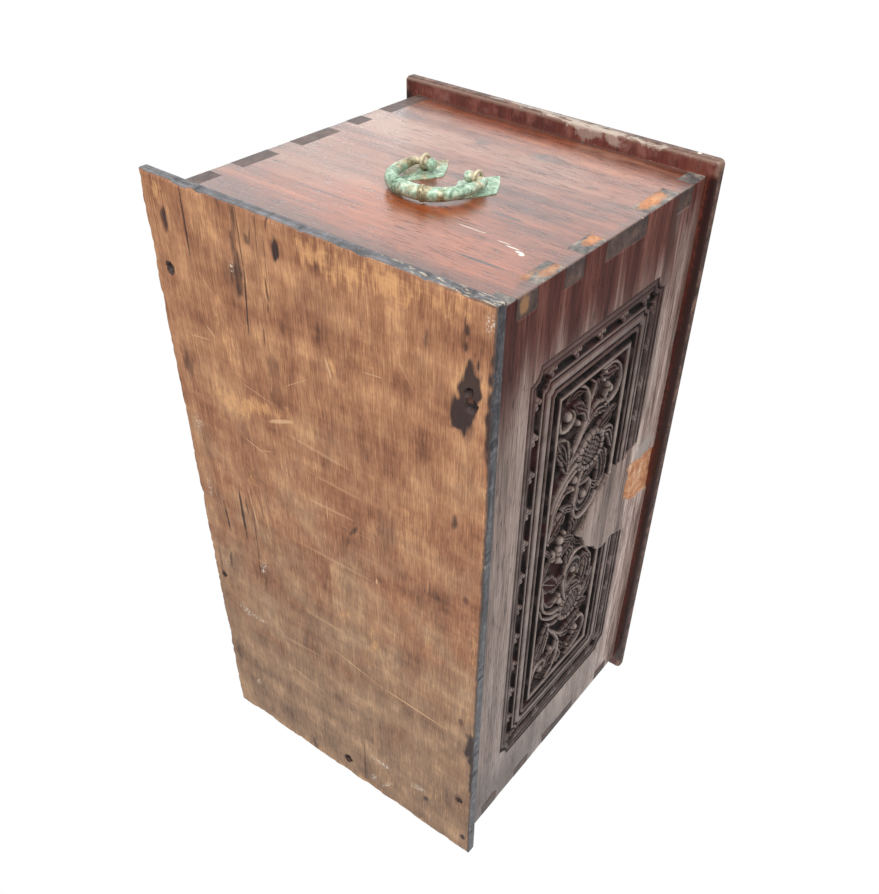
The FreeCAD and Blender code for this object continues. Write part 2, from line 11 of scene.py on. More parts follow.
import bpy
import numpy as np
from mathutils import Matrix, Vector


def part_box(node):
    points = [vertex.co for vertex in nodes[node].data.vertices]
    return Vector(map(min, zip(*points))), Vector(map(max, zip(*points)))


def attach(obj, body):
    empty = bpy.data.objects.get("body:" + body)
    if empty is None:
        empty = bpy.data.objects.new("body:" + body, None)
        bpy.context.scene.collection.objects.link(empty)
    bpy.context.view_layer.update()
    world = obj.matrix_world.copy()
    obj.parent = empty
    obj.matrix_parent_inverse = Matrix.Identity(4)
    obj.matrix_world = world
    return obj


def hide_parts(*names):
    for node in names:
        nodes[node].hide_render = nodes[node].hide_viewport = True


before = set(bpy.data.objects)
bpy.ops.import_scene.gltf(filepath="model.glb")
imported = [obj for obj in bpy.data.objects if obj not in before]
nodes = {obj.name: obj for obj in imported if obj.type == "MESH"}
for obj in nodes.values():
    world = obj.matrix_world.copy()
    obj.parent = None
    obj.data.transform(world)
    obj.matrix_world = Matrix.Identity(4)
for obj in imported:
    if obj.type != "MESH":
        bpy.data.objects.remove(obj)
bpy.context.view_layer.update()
MM = 0.001

# %% [markdown]
# Where the boards are
# Each board's box is read from the frame, so every mark and moulding below is placed on the
# board that carries it. Heights on the walls are counted from their lower edge.

# %% Boxes of the main boards
front_low, front_high = (np.array(c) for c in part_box("front_board"))
base_low, base_high = (np.array(c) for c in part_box("bottom_board"))
FACE_Y = float(front_low[1])
WALL_FOOT = float(front_low[2])
WALL_HEIGHT = float(front_high[2] - front_low[2])
FRONT_THICK = float(front_high[1] - front_low[1])
MIDDLE_Y = float(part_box("back_board")[1][1] + front_low[1]) / 2
print("face of the front at y =", round(FACE_Y, 5), "wall height", round(WALL_HEIGHT, 4))


# %% [markdown]
# Small helpers for whole-array geometry
# A height field is a grid of points whose height is a formula of its two coordinates. These
# helpers ease a value between two limits, blur a field, and turn a closed grid into a mesh.

# %% Array helpers
LATTICE = 64               # cells of random values each way, before the noise repeats


def ease(low, high, value):
    """0 below low, 1 above high, and 3t^2 - 2t^3 between them, t being the share of the way."""
    t = np.clip((value - low) / (high - low), 0, 1)
    return t * t * (3 - 2 * t)


def blur(field, cells):
    """Mean over a square of 2 * cells + 1, by differences of running sums, once each way."""
    for _ in range(2):
        padded = np.pad(field, ((cells + 1, cells), (0, 0)), mode="edge")
        sums = np.cumsum(padded, axis=0)
        field = ((sums[2 * cells + 1:] - sums[:-2 * cells - 1]) / (2 * cells + 1)).T
    return field


def value_noise(x, z, size, seed):
    """Smooth noise from 0 to 1: random values on a lattice of the given cell, eased between."""
    table = np.random.default_rng(seed).random((LATTICE, LATTICE))
    u, v = x / size, z / size
    i, j = np.floor(u).astype(int), np.floor(v).astype(int)
    s, t = ease(0, 1, u - i), ease(0, 1, v - j)
    i, j, beyond_i, beyond_j = (k % LATTICE for k in (i, j, i + 1, j + 1))
    low = table[i, j] * (1 - s) + table[beyond_i, j] * s
    high = table[i, beyond_j] * (1 - s) + table[beyond_i, beyond_j] * s
    return low * (1 - t) + high * t


def new_mesh(name, points, faces, attributes=None, smooth=True):
    """A mesh object at the origin from point rows and face rows, with named point values."""
    mesh = bpy.data.meshes.new(name)
    mesh.from_pydata(points, [], faces)
    mesh.polygons.foreach_set("use_smooth", np.full(len(mesh.polygons), smooth))
    for key, values in (attributes or {}).items():
        layer = mesh.attributes.new(key, "FLOAT", "POINT")
        layer.data.foreach_set("value", np.asarray(values, np.float32))
    mesh.update()
    piece = bpy.data.objects.new(name, mesh)
    bpy.context.scene.collection.objects.link(piece)
    return piece


print("noise lattice:", LATTICE, "cells each way")

# %% [markdown]
# The plan of the carved panel
# The panel is a set of nested frames. Their outline is a rectangle with a quarter circle bitten
# out of each corner, and each frame further in has a smaller bite, until the innermost is
# square. One number, the inset from the outline, then says everything about the mouldings.
# The alternative, sweeping each moulding along its own path, leaves gaps at the corners.

# %% Inset from the panel's outline
# millimetres: x from the middle of the board, z from its lower edge, heights from its face
PANEL_HALF = 233.0
PANEL_FOOT = 52.0
PANEL_TOP = 259.0
PANEL_MID = (PANEL_FOOT + PANEL_TOP) / 2
PANEL_HALF_HEIGHT = (PANEL_TOP - PANEL_FOOT) / 2
CORNER_BITE = 13.0
BITE_ENDS = 47.5           # inset at which the frames' corners are square
RIGHT_EXTRA = 4.5          # how much wider the row of tips is at the right end
EXTRA_SETS_IN = (222, 209)     # x between which it grows, inwards from the right side
EXTRA_FADES = (-120, 100)      # x between which it is lost again towards the left
JUST_OUTSIDE = -0.01       # greatest inset of a point inside a corner's bite
GROUND = -7.4              # the flat ground between the leaves
FIELD_FROM = 51            # inset from which the foliage is laid in
BEAD_ENDS = 52.2           # inset at which the inner bead meets the ground


def from_sides(x, z):
    """Distances in from the nearest upright side and from the nearest level side."""
    return PANEL_HALF - np.abs(x), PANEL_HALF_HEIGHT - np.abs(z - PANEL_MID)


def panel_inset(x, z):
    """Distance in from the outline: the nearest side, or the root of the shrinking-bite circle.

    With a and b the distances from the nearest upright and level side, the frame at inset d
    passes through the point where (a - d)^2 + (b - d)^2 = (bite - k d)^2.
    """
    extra = RIGHT_EXTRA * ease(*EXTRA_SETS_IN, x) * ease(*EXTRA_FADES, x)
    a, b = from_sides(x + extra, z)
    k = CORNER_BITE / BITE_ENDS
    q = 2 - k * k
    p = a + b - CORNER_BITE * k
    inside = p * p - q * (a * a + b * b - CORNER_BITE ** 2)
    root = (p - np.sqrt(np.maximum(inside, 0))) / q
    curved = (inside > 0) & (root < BITE_ENDS) & (a > root) & (b > root)
    outside = np.hypot(a, b) < CORNER_BITE
    straight = np.minimum(a, b)
    bitten = np.hypot(a, b) - CORNER_BITE
    return np.where(outside, np.minimum(bitten, JUST_OUTSIDE),
                    np.where(curved, np.minimum(root, straight), straight))


print("panel:", 2 * PANEL_HALF, "by", PANEL_TOP - PANEL_FOOT, "mm")

# %% [markdown]
# Mouldings and the border of tips
# Across the frames runs one profile: two thin grooves, a sunk row, a bead and its groove, a
# broad band that swells towards the middle, a groove, a small bead, a deep hollow and an inner
# bead. In the sunk row, scallops run from tip to tip and slope down to the wall behind them,
# and each tip ends in three small round lobes. The profile is a table of insets and heights
# joined by straight lines, because a smooth curve would round off arrises that were cut sharp.

# %% Frame profile
# inset and height of the profile's corners
PROFILE = ((-3, 0), (0, 0), (1.2, -0.2), (1.6, -1.6), (2.7, -1.7), (3.2, -0.6), (4.6, -0.4),
           (6.6, -0.6), (7.2, -1.6), (8.2, -1.6), (8.8, -0.9), (20.0, -0.9), (20.2, -2.4),
           (24.2, -2.4), (25.2, -2.4), (25.7, -1.0), (27.8, -0.4), (30.0, -0.2), (32.3, -0.4),
           (33.4, -1.0), (33.8, -2.4), (35.4, -2.6), (39.9, -2.8), (40.4, -6.8), (45.3, -6.8),
           (45.6, -4.2), (52.1, -4.2), (52.6, GROUND), (400, GROUND))
# start, end, crest and foot of the half-round beads
BEADS = ((20.1, 24.1, -0.7, -2.2), (35.4, 40.0, -0.5, -2.8), (45.5, 52.2, -0.35, -3.8))
# inset, and how light (above 0) or dark (below 0) the wood is there: rubbed wear with painted
# highlights on the crests, and grime with painted shade in the grooves
FRAME_TONES = ((-3, 0), (0, 0.1), (1.2, 0), (1.6, -0.9), (2.7, -0.8), (3.2, 0.1), (4.6, 0.4),
               (6.6, 0.1), (7.2, -0.7), (8.2, -0.6), (8.8, 0.15), (20.0, -0.2), (20.2, -0.9),
               (20.8, 0.1), (21.8, 0.75), (23, 0.6), (23.7, -0.2), (24.1, -1), (25.2, -1),
               (25.7, -0.1), (27, 0.5), (29, 0.8), (31.4, 0.75), (32.7, 0.3), (33.4, -0.4),
               (33.8, -1), (35.4, -1), (36.2, -0.1), (37.4, 0.4), (38.8, 0.3), (39.6, -0.7),
               (40.4, -1), (45.6, -1), (46.6, -0.8), (47.3, 0.3), (48.2, 0.9), (50.4, 0.9),
               (51.5, 0.1), (52.2, -1), (400, -1))
ROW_START = 8.9
ROW_LIP = 9.6              # inset of a scallop's edge midway between two tips
ROW_WALL = 20.0
ROW_TOP = -0.9
ROW_FLOOR = -4.6
ROW_ENDS = (-214, 212)     # x where the level rows stop
SIDE_HALF = 84             # half the height of the upright rows
SCALLOP_HALF = 15.5
BOTTOM_TIPS = (-199, -166, -130, -92, -57, -19.5, 19.5, 57, 95, 134, 174, 206)
TOP_TIPS = (-204, -167, -129, -92, 92, 129, 167, 204)
SIDE_TIPS = (84, 119, 155, 191, 227)
# how far each lobe of a tip stands to the side, its inset and its radius
TREFOIL = ((0.0, 17.4, 2.5), (-3.9, 13.4, 2.3), (3.9, 13.4, 2.3), (0.0, 12.0, 2.0))
LOBE_FOOT = -1.6           # height where a lobe meets the scallop, and its rise above that
LOBE_RISE = 1.5
CORNER_POCKET = (16.0, 6.6)    # how far in from both sides, and the radius

print("corners of the profile:", len(PROFILE), "tips in the border:",
      len(BOTTOM_TIPS) + len(TOP_TIPS) + 2 * len(SIDE_TIPS))


# %% Heights of the mouldings and the row of tips
def frame_height(d):
    """The profile's straight runs, with a half ellipse added over each bead."""
    height = np.interp(d, *zip(*PROFILE))
    for start, end, crest, foot in BEADS:
        u = (d - (start + end) / 2) / ((end - start) / 2)
        arch = foot + (crest - foot) * np.sqrt(np.clip(1 - u * u, 0, 1))
        height = np.maximum(height, np.where(np.abs(u) < 1, arch, GROUND))
    return height


def tip_row(s, d, tips):
    """Scallops between tips: each widens outwards as a quarter ellipse and slopes to its wall."""
    gap = s[..., None] - np.array(tips, float)
    nearest = np.abs(gap).argmin(-1)
    t = np.take_along_axis(gap, nearest[..., None], -1)[..., 0]
    share = np.clip(np.abs(t) / SCALLOP_HALF, 0, 1)
    edge = ROW_WALL - (ROW_WALL - ROW_LIP) * np.sqrt(np.clip(1 - (1 - share) ** 2, 0, 1))
    slope = np.clip((d - edge) / (ROW_WALL - 1 - edge).clip(0.8), 0, 1)
    height = ROW_TOP + (ROW_FLOOR - ROW_TOP) * slope ** 0.8
    for across, inward, radius in TREFOIL:
        dome = 1 - ((t - across) ** 2 + (d - inward) ** 2) / radius ** 2
        lobe = LOBE_FOOT + LOBE_RISE * np.sqrt(np.abs(dome))
        height = np.maximum(height, np.where(dome > 0, lobe, GROUND))
    return height


def border(x, z, d, plain):
    """The plain profile with the scallops of all four sides and the corner pockets sunk in."""
    a, b = from_sides(x, z)
    in_row = (d > ROW_START) & (d < ROW_WALL + 0.1)
    level = in_row & (b <= a) & (x > ROW_ENDS[0]) & (x < ROW_ENDS[1])
    upright = in_row & (a < b) & (np.abs(z - PANEL_MID) < SIDE_HALF)
    height = np.where(level & (z < PANEL_MID), tip_row(x, d, BOTTOM_TIPS), plain)
    height = np.where(level & (z > PANEL_MID), tip_row(x, d, TOP_TIPS), height)
    height = np.where(upright, tip_row(z, d, SIDE_TIPS), height)
    at, radius = CORNER_POCKET
    pocket = ease(radius + 0.5, radius - 0.5, np.hypot(a - at, b - at)) * in_row
    sunk = ROW_TOP + (ROW_FLOOR - ROW_TOP) * pocket
    return np.where(pocket > 0, np.minimum(height, sunk), height)


print("lowest moulding:", float(frame_height(np.arange(FIELD_FROM)).min()), "mm")

# %% [markdown]
# Tools for carved foliage
# A carver thinks in stems, leaves, berries and flowers. Each is a function that raises the
# ground: a stem is round across its path, a leaf has a lobed edge and slanting veins. They are
# laid over each other by keeping the higher of the two surfaces, as in cut relief. Separate
# meshes joined by a boolean would also do, but slowly, and with slivers where they meet.

# %% Bent lines and stems
BROAD_FROM = 2.6           # half-width above which a stem is hollow
LINE_STEP = 0.6            # mm from one sample of a bent line to the next


def bent_line(points):
    """A Catmull-Rom curve through the points, with the place of each sample among them.

    Between the middle two of four points a, b, c, d it is half of
    2b + (c - a) t + (2a - 5b + 4c - d) t^2 + (3b - a - 3c + d) t^3.
    """
    p = np.array(points, float)
    p = np.vstack([2 * p[0] - p[1], p, 2 * p[-1] - p[-2]])
    line, place = [], []
    for i in range(1, len(p) - 2):
        count = max(3, int(np.hypot(*(p[i + 1] - p[i])) / LINE_STEP))
        t = np.linspace(0, 1, count, endpoint=False)[:, None]
        a, b, c, d = p[i - 1:i + 3]
        line.append(0.5 * (2 * b + (c - a) * t + (2 * a - 5 * b + 4 * c - d) * t ** 2
                           + (3 * b - a - 3 * c + d) * t ** 3))
        place.append(i - 1 + t[:, 0])
    return np.vstack(line + [p[-2:-1]]), np.concatenate(place + [[len(points) - 1.0]])


def beside(x, z, points, reach):
    """Of the grid points near a bent line: which, how far, on which side, and how far along."""
    line, place = bent_line(points)
    low, high = line.min(0) - reach, line.max(0) + reach
    near = (x > low[0]) & (x < high[0]) & (z > low[1]) & (z < high[1])
    px, pz = x[near], z[near]
    closest = ((px[:, None] - line[:, 0]) ** 2 + (pz[:, None] - line[:, 1]) ** 2).argmin(1)
    dx, dz = px - line[closest, 0], pz - line[closest, 1]
    way = np.gradient(line, axis=0)[closest]
    side = (dz * way[:, 0] - dx * way[:, 1]) / np.hypot(way[:, 0], way[:, 1])
    run = np.append(0, np.cumsum(np.hypot(*np.diff(line, axis=0).T)))
    return near, np.hypot(dx, dz), side, run[closest] / run[-1], place[closest], run[-1]


def raise_to(field, near, height):
    """Keep the higher of what is carved already and the new form."""
    field[near] = np.maximum(field[near], height)


def stem(field, x, z, points, widths, top):
    """A band whose flanks rise as the fourth root of 1 - u^4, u being 0 along its middle.

    A narrow band then loses more the larger u^0.8 is, which leaves a ridge along its middle. A
    wide one loses more the larger 1 - u^1.5 is, which leaves a hollow.
    """
    near, dist, _, _, place, _ = beside(x, z, points, max(widths) + 1)
    width = np.interp(place, np.linspace(0, len(points) - 1, len(widths)), widths)
    u = np.clip(dist / width, 0, 1)
    height = GROUND + (top - GROUND) * (1 - u ** 4) ** 0.25
    broad = np.clip((width - BROAD_FROM) / 2, 0, 1)
    height = height - 2.8 * u ** 0.8 * (1 - broad) - 2.0 * (1 - u ** 1.5) * broad
    raise_to(field, near, np.where(dist < width, height, GROUND))


print("a bent line through 3 points has", len(bent_line(((0, 0), (5, 5), (10, 0)))[0]), "points")


# %% Leaves, berries and flowers
PETALS = 17
PETAL_REACH = 19.6         # radius of the flower between its petals' ends
RING_RADIUS = 17.4         # where the ring of petals is highest, and half its width
RING_HALF = 3.2
BUTTON_RADIUS = 14.0
BUTTON_EDGE = 13.4         # radius where the ring covers the button


def leaf(field, x, z, points, width, top, fingers):
    """Half-width swells as a sine along the midrib; dished, with grooves between its fingers."""
    near, dist, side, share, _, _ = beside(x, z, points, width * 1.2 + 1)
    lobe = np.abs(np.cos(np.pi * fingers * (share - 0.012 * np.abs(side))))
    swell = np.sin(np.pi * np.clip(share, 0.02, 0.98) ** 0.8) ** 0.6
    edge = np.maximum(width * swell * (0.74 + 0.26 * lobe ** 0.6), 0.9)
    u = np.clip(dist / edge, 0, 1)
    height = top - 2.4 * (1 - u ** 2) - (top - GROUND) * 0.85 * u ** 10
    height = height + 1.6 * np.exp(-(side / 0.8) ** 2) * ease(1.0, 0.6, share)
    height = height - 1.2 * (1 - lobe) ** 3 * ease(0, 0.3, u)
    raise_to(field, near, np.where(dist < edge, height, GROUND))


def berry(field, x, z, at, radius, top):
    """A dome on a round foot: 1 - (distance / radius)^2, to the power 0.4."""
    dome = 1 - ((x - at[0]) ** 2 + (z - at[1]) ** 2) / radius ** 2
    height = np.where(dome > 0, GROUND + (top - GROUND) * np.abs(dome) ** 0.4, GROUND)
    np.maximum(field, height, out=field)


def flower(field, x, z, at):
    """A hatched button, 1 - (r / radius)^2 to the power 0.3, in a ring of round-ended petals.

    The ring falls as the square of the distance from its crest, and is notched between petals,
    where the cosine of half the petals' count times the angle is zero.
    """
    dx, dz = x - at[0], (z - at[1]) / 1.1
    r, turn = np.hypot(dx, dz), np.arctan2(dz, dx)
    lobe = np.abs(np.cos(turn * PETALS / 2))
    off_crest = np.clip(np.abs(r - RING_RADIUS) / RING_HALF, 0, 1.4)
    ring = -0.8 - 2.2 * off_crest ** 2 - 1.3 * (1 - lobe) ** 2
    shift = 2.0 * value_noise(x, z, 6.0, 71)
    hatch = np.cos(2 * np.pi * (0.75 * dx + 0.66 * dz + shift) / 3.8)
    button = -4.2 + 3.2 * np.clip(1 - (r / BUTTON_RADIUS) ** 2, 0, 1) ** 0.3 + 0.22 * hatch
    button = button + 0.16 * np.cos(2 * np.pi * (0.9 * dz - 0.45 * dx - shift) / 5.0)
    height = np.where(r < PETAL_REACH + 1.4 * lobe, ring, GROUND)
    height = np.where(r < BUTTON_EDGE, button, height)
    np.maximum(field, height, out=field)


print("kinds of carved form:", [form.__name__ for form in (stem, leaf, berry, flower)])

# %% [markdown]
# The foliage
# One half is drawn, from the middle of the pattern outwards, and laid down twice, mirrored. On
# each side a triple stem rises from the foot to a sunflower, throws a scroll into each corner,
# and a big scroll curls under the lock's place. Each form is a few points along its path, as
# a carver would prick them through from a paper pattern.

# %% Layout of one half
PATTERN_MIDDLE = -3.0
FLOWER_AT = (95, 167)
LEAVES = (
    # midrib points, half-width, crest, fingers
    (((164, 195), (166, 184), (168, 171)), 7.0, -1.2, 2),
    (((134, 156), (137, 167), (134, 180), (126, 191)), 8.5, -0.5, 4),
    (((110, 174), (115, 190), (122, 207)), 8.0, -1.6, 2),
    (((149, 155), (157, 161), (166, 168)), 6.0, -2.0, 2),
    (((147, 147), (152, 140), (159, 130)), 6.5, -1.4, 3),
    (((168, 142), (172, 130), (167, 118)), 6.0, -2.2, 2),
    (((96, 126), (112, 123), (126, 117), (136, 107)), 10.0, -0.5, 4),
    (((107, 122), (118, 114), (127, 105)), 5.0, -0.9, 2),
    (((104, 186), (100, 197), (90, 203), (75, 208)), 6.5, -0.3, 1),
    (((84, 184), (70, 190), (56, 191), (42, 185)), 8.0, -0.6, 3),
    (((45, 190), (46, 183), (54, 175)), 5.0, -0.8, 1),
    (((76, 179), (73, 166), (71, 150)), 7.5, -0.3, 1),
    (((26, 109), (36, 121), (47, 135)), 11.0, -0.6, 3),
    (((42, 147), (46, 138), (52, 127)), 4.5, -0.4, 1),
    (((71, 137), (68, 126), (61, 116)), 4.2, -1.2, 1),
    (((27, 149), (17, 154), (7, 146)), 6.0, -1.0, 2),
    (((21, 173), (13, 163), (4, 160)), 5.0, -2.4, 2),
    (((10, 137), (5, 146), (0, 157)), 5.0, -1.0, 2),
    (((17, 105), (8, 113), (1, 119)), 3.6, -0.8, 1),
    (((120, 102), (107, 107), (95, 102)), 5.0, -3.0, 1),
)
STEMS = (
    # path points, half-widths along it, crest
    (((176, 170), (175.5, 185), (169, 197), (159, 202.5), (148, 203), (140, 199), (136, 191),
      (136, 180)), (1.6, 2.2, 2.5, 2.4), -0.3),
    (((150, 184), (143, 180), (135, 184)), (1.5, 2.2), -0.6),
    (((173, 153), (167, 159.5), (160, 157.5), (152, 153), (143, 151)), (1.4, 2.3), -0.6),
    (((178, 132), (172, 142), (165, 147.5), (157, 150.5), (147, 151.5), (137, 150.5), (127, 146),
      (118, 140), (110, 133), (99, 126)), (1.8, 2.5, 2.6, 2.6), -0.1),
    (((136, 166), (130, 153), (122, 145), (113, 137)), (2.4, 2.1), -0.4),
    (((157, 126), (151, 128.5), (145, 125), (142.5, 118), (144, 111), (150, 106.5),
      (159, 104.5), (169, 104)), (1.4, 2.2, 2.4, 2.0), -0.2),
    (((148, 139), (144, 146), (137, 148.5)), (1.6, 1.6), -0.7),
    (((94, 126), (105, 126.5), (117, 125), (130, 121)), (1.9, 1.6), 0.0),
    (((103, 144), (101, 135), (96, 128)), (1.8, 2.0), -0.7),
    (((93, 143), (90, 132), (85, 124), (79, 117), (72, 111), (61, 107)),
     (2.3, 2.4, 2.0, 1.4), -0.2),
    (((86, 143), (82, 131), (75, 122), (67, 115), (57, 110.5), (44, 109), (30, 107)),
     (1.8, 2.4, 2.2, 1.6), -0.1),
    (((67, 138), (69, 128), (65, 121), (57, 115), (47, 110.5), (34, 108.5)),
     (1.5, 2.0, 2.1, 1.6), -0.5),
    (((36, 187), (28, 180), (23.5, 170), (22.5, 161), (26, 153.5), (34, 148.5), (45, 146),
      (56, 147.5), (67, 149.5), (80, 154)), (1.6, 2.2, 2.4, 2.3, 2.0), 0.0),
    (((58, 173), (50, 174.5), (41, 171), (36, 162), (40, 154.5), (50, 151.5), (62, 151.5)),
     (2.0, 4.0, 5.4, 5.4, 3.6, 2.4), -0.4),
    (((61, 171), (62, 161), (64, 152)), (2.0, 1.8), -1.0),
    (((79, 196), (64, 197.5), (50, 196), (41, 190)), (1.5, 1.6), -0.3),
)
BERRIES = (
    # place, radius, crest
    ((149, 187), 4.6, -0.1), ((154, 183.5), 3.6, -1.0), ((154, 120), 5.0, 0.0),
    ((139, 137.5), 3.3, -0.6), ((75, 144), 4.6, -0.1), ((66, 142), 3.2, -0.7),
    ((47, 164), 5.0, 0.0), ((84, 149), 2.6, -0.9), ((12, 132), 4.7, -0.1),
    ((2, 131.5), 4.8, -0.1), ((2, 120), 5.4, -0.2), ((18, 137.5), 2.7, -0.9),
    ((171, 174.5), 2.2, -0.6), ((164, 173), 2.3, -0.6),
)

print("in one half:", len(LEAVES), "leaves,", len(STEMS), "stems,", len(BERRIES), "berries")


# %% Both halves of the foliage
def foliage(x, z):
    """Both halves of the pattern: the distance from its middle stands in for x."""
    field = np.full(x.shape, GROUND)
    for way in (-1, 1):
        out = way * (x - PATTERN_MIDDLE)
        for points, width, top, fingers in LEAVES:
            leaf(field, out, z, points, width, top, fingers)
        for points, widths, top in STEMS:
            stem(field, out, z, points, widths, top)
        for at, radius, top in BERRIES:
            berry(field, out, z, at, radius, top)
        flower(field, out, z, FLOWER_AT)
    return field


print("middle of the left flower at x =", PATTERN_MIDDLE - FLOWER_AT[0], "z =", FLOWER_AT[1])

# %% [markdown]
# The whole face of the front board
# Where a lock plate once lay, the carver left the board standing in a lobed shape. Outside the
# panel the board is plain but not flat: it has hollows from wear, a crack along a glued joint
# and a torn patch under the lid where the lock's hasp was pulled out. All of it goes into one
# field of heights, so nothing has to be fitted together, and the same formulas give the values
# that the varnish reads later.

# %% The lock's place, the torn patch and the bleached patch
# depth below the panel's top, and half the width of the lock's place there
LOCK_EDGE = ((0, 56), (12, 52.5), (25, 48), (34, 51), (43, 51), (53, 47), (59, 39), (67, 33),
             (75, 27), (81, 21), (84, 13), (89, 6), (95, 0.5))
LOCK_MIDDLE = 1.0
LOCK_DEPTH = 96
TORN_LEFT = -31.0
TORN_RIGHT = 25.0
TORN_FOOT = 251.5
TORN_CORNER = 268          # height below which its right side is cut off aslant
BLEACHED_AT = (-38.0, 276.0)
BLEACHED_SIZE = (11.0, 22.0)
CRACK_Z = 108.0
CRACK_LEFT = (-294, -290)  # x over which the crack opens, and over which it closes again
CRACK_RIGHT = (-236, -243)


def torn_patch(x, z):
    """1 inside the torn place: a strip that leans to the right as it goes up, ragged all round."""
    ragged = 6.0 * (value_noise(x, z, 9.0, 11) - 0.5) + 3.0 * (value_noise(x, z, 3.0, 12) - 0.5)
    left = TORN_LEFT + 0.12 * (z - 250)
    right = TORN_RIGHT - 0.9 * np.maximum(TORN_CORNER - z, 0) + 0.08 * (z - TORN_CORNER)
    inset = np.minimum(np.minimum(x - left, right - x), z - TORN_FOOT)
    return ease(-0.8, 1.2, inset + ragged)


def bleached_patch(x, z):
    """1 on the grey, half-lifted surface just beside the torn place."""
    u, v = ((part - middle) / size for part, middle, size in
            zip((x, z), BLEACHED_AT, BLEACHED_SIZE))
    ragged = 0.9 * (value_noise(x * 0.5, z, 4.0, 13) - 0.5)
    return ease(1.1, 0.6, np.sqrt(u * u + v * v) + ragged) * (1 - torn_patch(x, z))


print("lock's place:", 2 * max(half for _, half in LOCK_EDGE), "by", LOCK_EDGE[-1][0], "mm")


# %% The face as one field of heights
def carved_face(x, z):
    """Heights of the panel, the lock's place and the worn plain parts, with their tones.

    A tone goes from -1, black with grime and painted shade, to 1, rubbed bare and painted light.
    On the frames it is read from the table by the inset. In the field it grows with the height
    above the ground, and with the height above the mean of the surroundings, so that rims get
    painted highlights and corners painted shade.
    """
    d = panel_inset(x, z)
    plain = frame_height(d)
    height = border(x, z, d, plain)
    field = d > FIELD_FROM
    height[field] = np.maximum(height[field], foliage(x[field], z[field]))
    # the lock's place stands up as far as a finely notched edge
    half = np.interp(PANEL_TOP - z, *zip(*LOCK_EDGE)) + 0.5 * np.sin((PANEL_TOP - z) / 2.1)
    standing = ease(0.8, -0.8, np.abs(x - LOCK_MIDDLE) - half) * (z > PANEL_TOP - LOCK_DEPTH)
    # tones of the frames, the foliage, and the row with its tips, with painted shade in the sunk
    # scallops
    close = blur(height, 2)
    tone = np.interp(d, *zip(*FRAME_TONES))
    up = np.clip(height / -GROUND + 1, 0, 1)
    # rims get a painted highlight, and corners painted shade
    rim = np.clip((height - close) / 0.4, -1, 1)
    tone = np.where(d > BEAD_ENDS, 1.3 * up ** 2.2 - 1.05 + 0.9 * rim, tone)
    sunk = ease(-0.6, -3.4, height - plain)
    tip = 0.5 * (height > plain + 0.2)
    row = np.where((d > ROW_START) & (d < ROW_WALL + 0.05), 0.1 + tip - 1.2 * sunk, 0)
    marks = {"tone": np.clip(tone + row, -1, 1), "carved": ease(-0.6, 0.6, d) * (1 - standing),
             "torn": torn_patch(x, z), "bleached": bleached_patch(x, z)}
    height = height * (1 - standing)
    # shallow hollows of wear on the plain parts, and a rough ground between the leaves
    wear = 0.5 * (value_noise(x, z, 34, 3) - 0.6) + 0.22 * (value_noise(x * 0.25, z, 5, 4) - 0.5)
    height = height + np.clip(ease(1.5, -1.0, d) + standing, 0, 1) * np.minimum(wear, 0.0)
    height = height + 0.35 * (value_noise(x, z, 3.2, 5) - 0.5) * ease(-6, -7.2, height)
    # the torn place is sunk and splintered along the grain, and a crack follows a joint
    splinters = 0.9 * (value_noise(x * 0.2, z, 2.4, 6) - 0.3)
    height = height - marks["torn"] * (0.9 + splinters)
    line = CRACK_Z + 1.4 * (value_noise(x, z * 0, 30, 7) - 0.5)
    crack = np.exp(-((z - line) / 0.7) ** 2) * ease(*CRACK_RIGHT, x) * ease(*CRACK_LEFT, x)
    return height - 0.7 * crack, marks


trial, _ = carved_face(*np.meshgrid(np.arange(-230, 230, 5.0), np.arange(60, 255, 5.0)))
print("deepest place on a trial grid:", round(float(trial.min()), 2), "mm")

# %% [markdown]
# From heights to a closed board
# The face is a grid whose lines stand close together where the carving is fine. The carved
# field is one closed slab and the rest of the board is another, parted in the deep hollow where
# the joint can't be seen, so each stays light enough. The board's dovetail tails are part of
# the surround, which leaves the end boards' pins their sockets.

# %% Grid lines and the closed slab
def spaced(stops, step):
    """Grid lines from stop to stop, each stretch divided evenly into lengths near the step."""
    lines = [np.linspace(a, b, max(1, round((b - a) / step)), endpoint=False)
             for a, b in zip(stops[:-1], stops[1:])]
    return np.append(np.concatenate(lines), stops[-1])


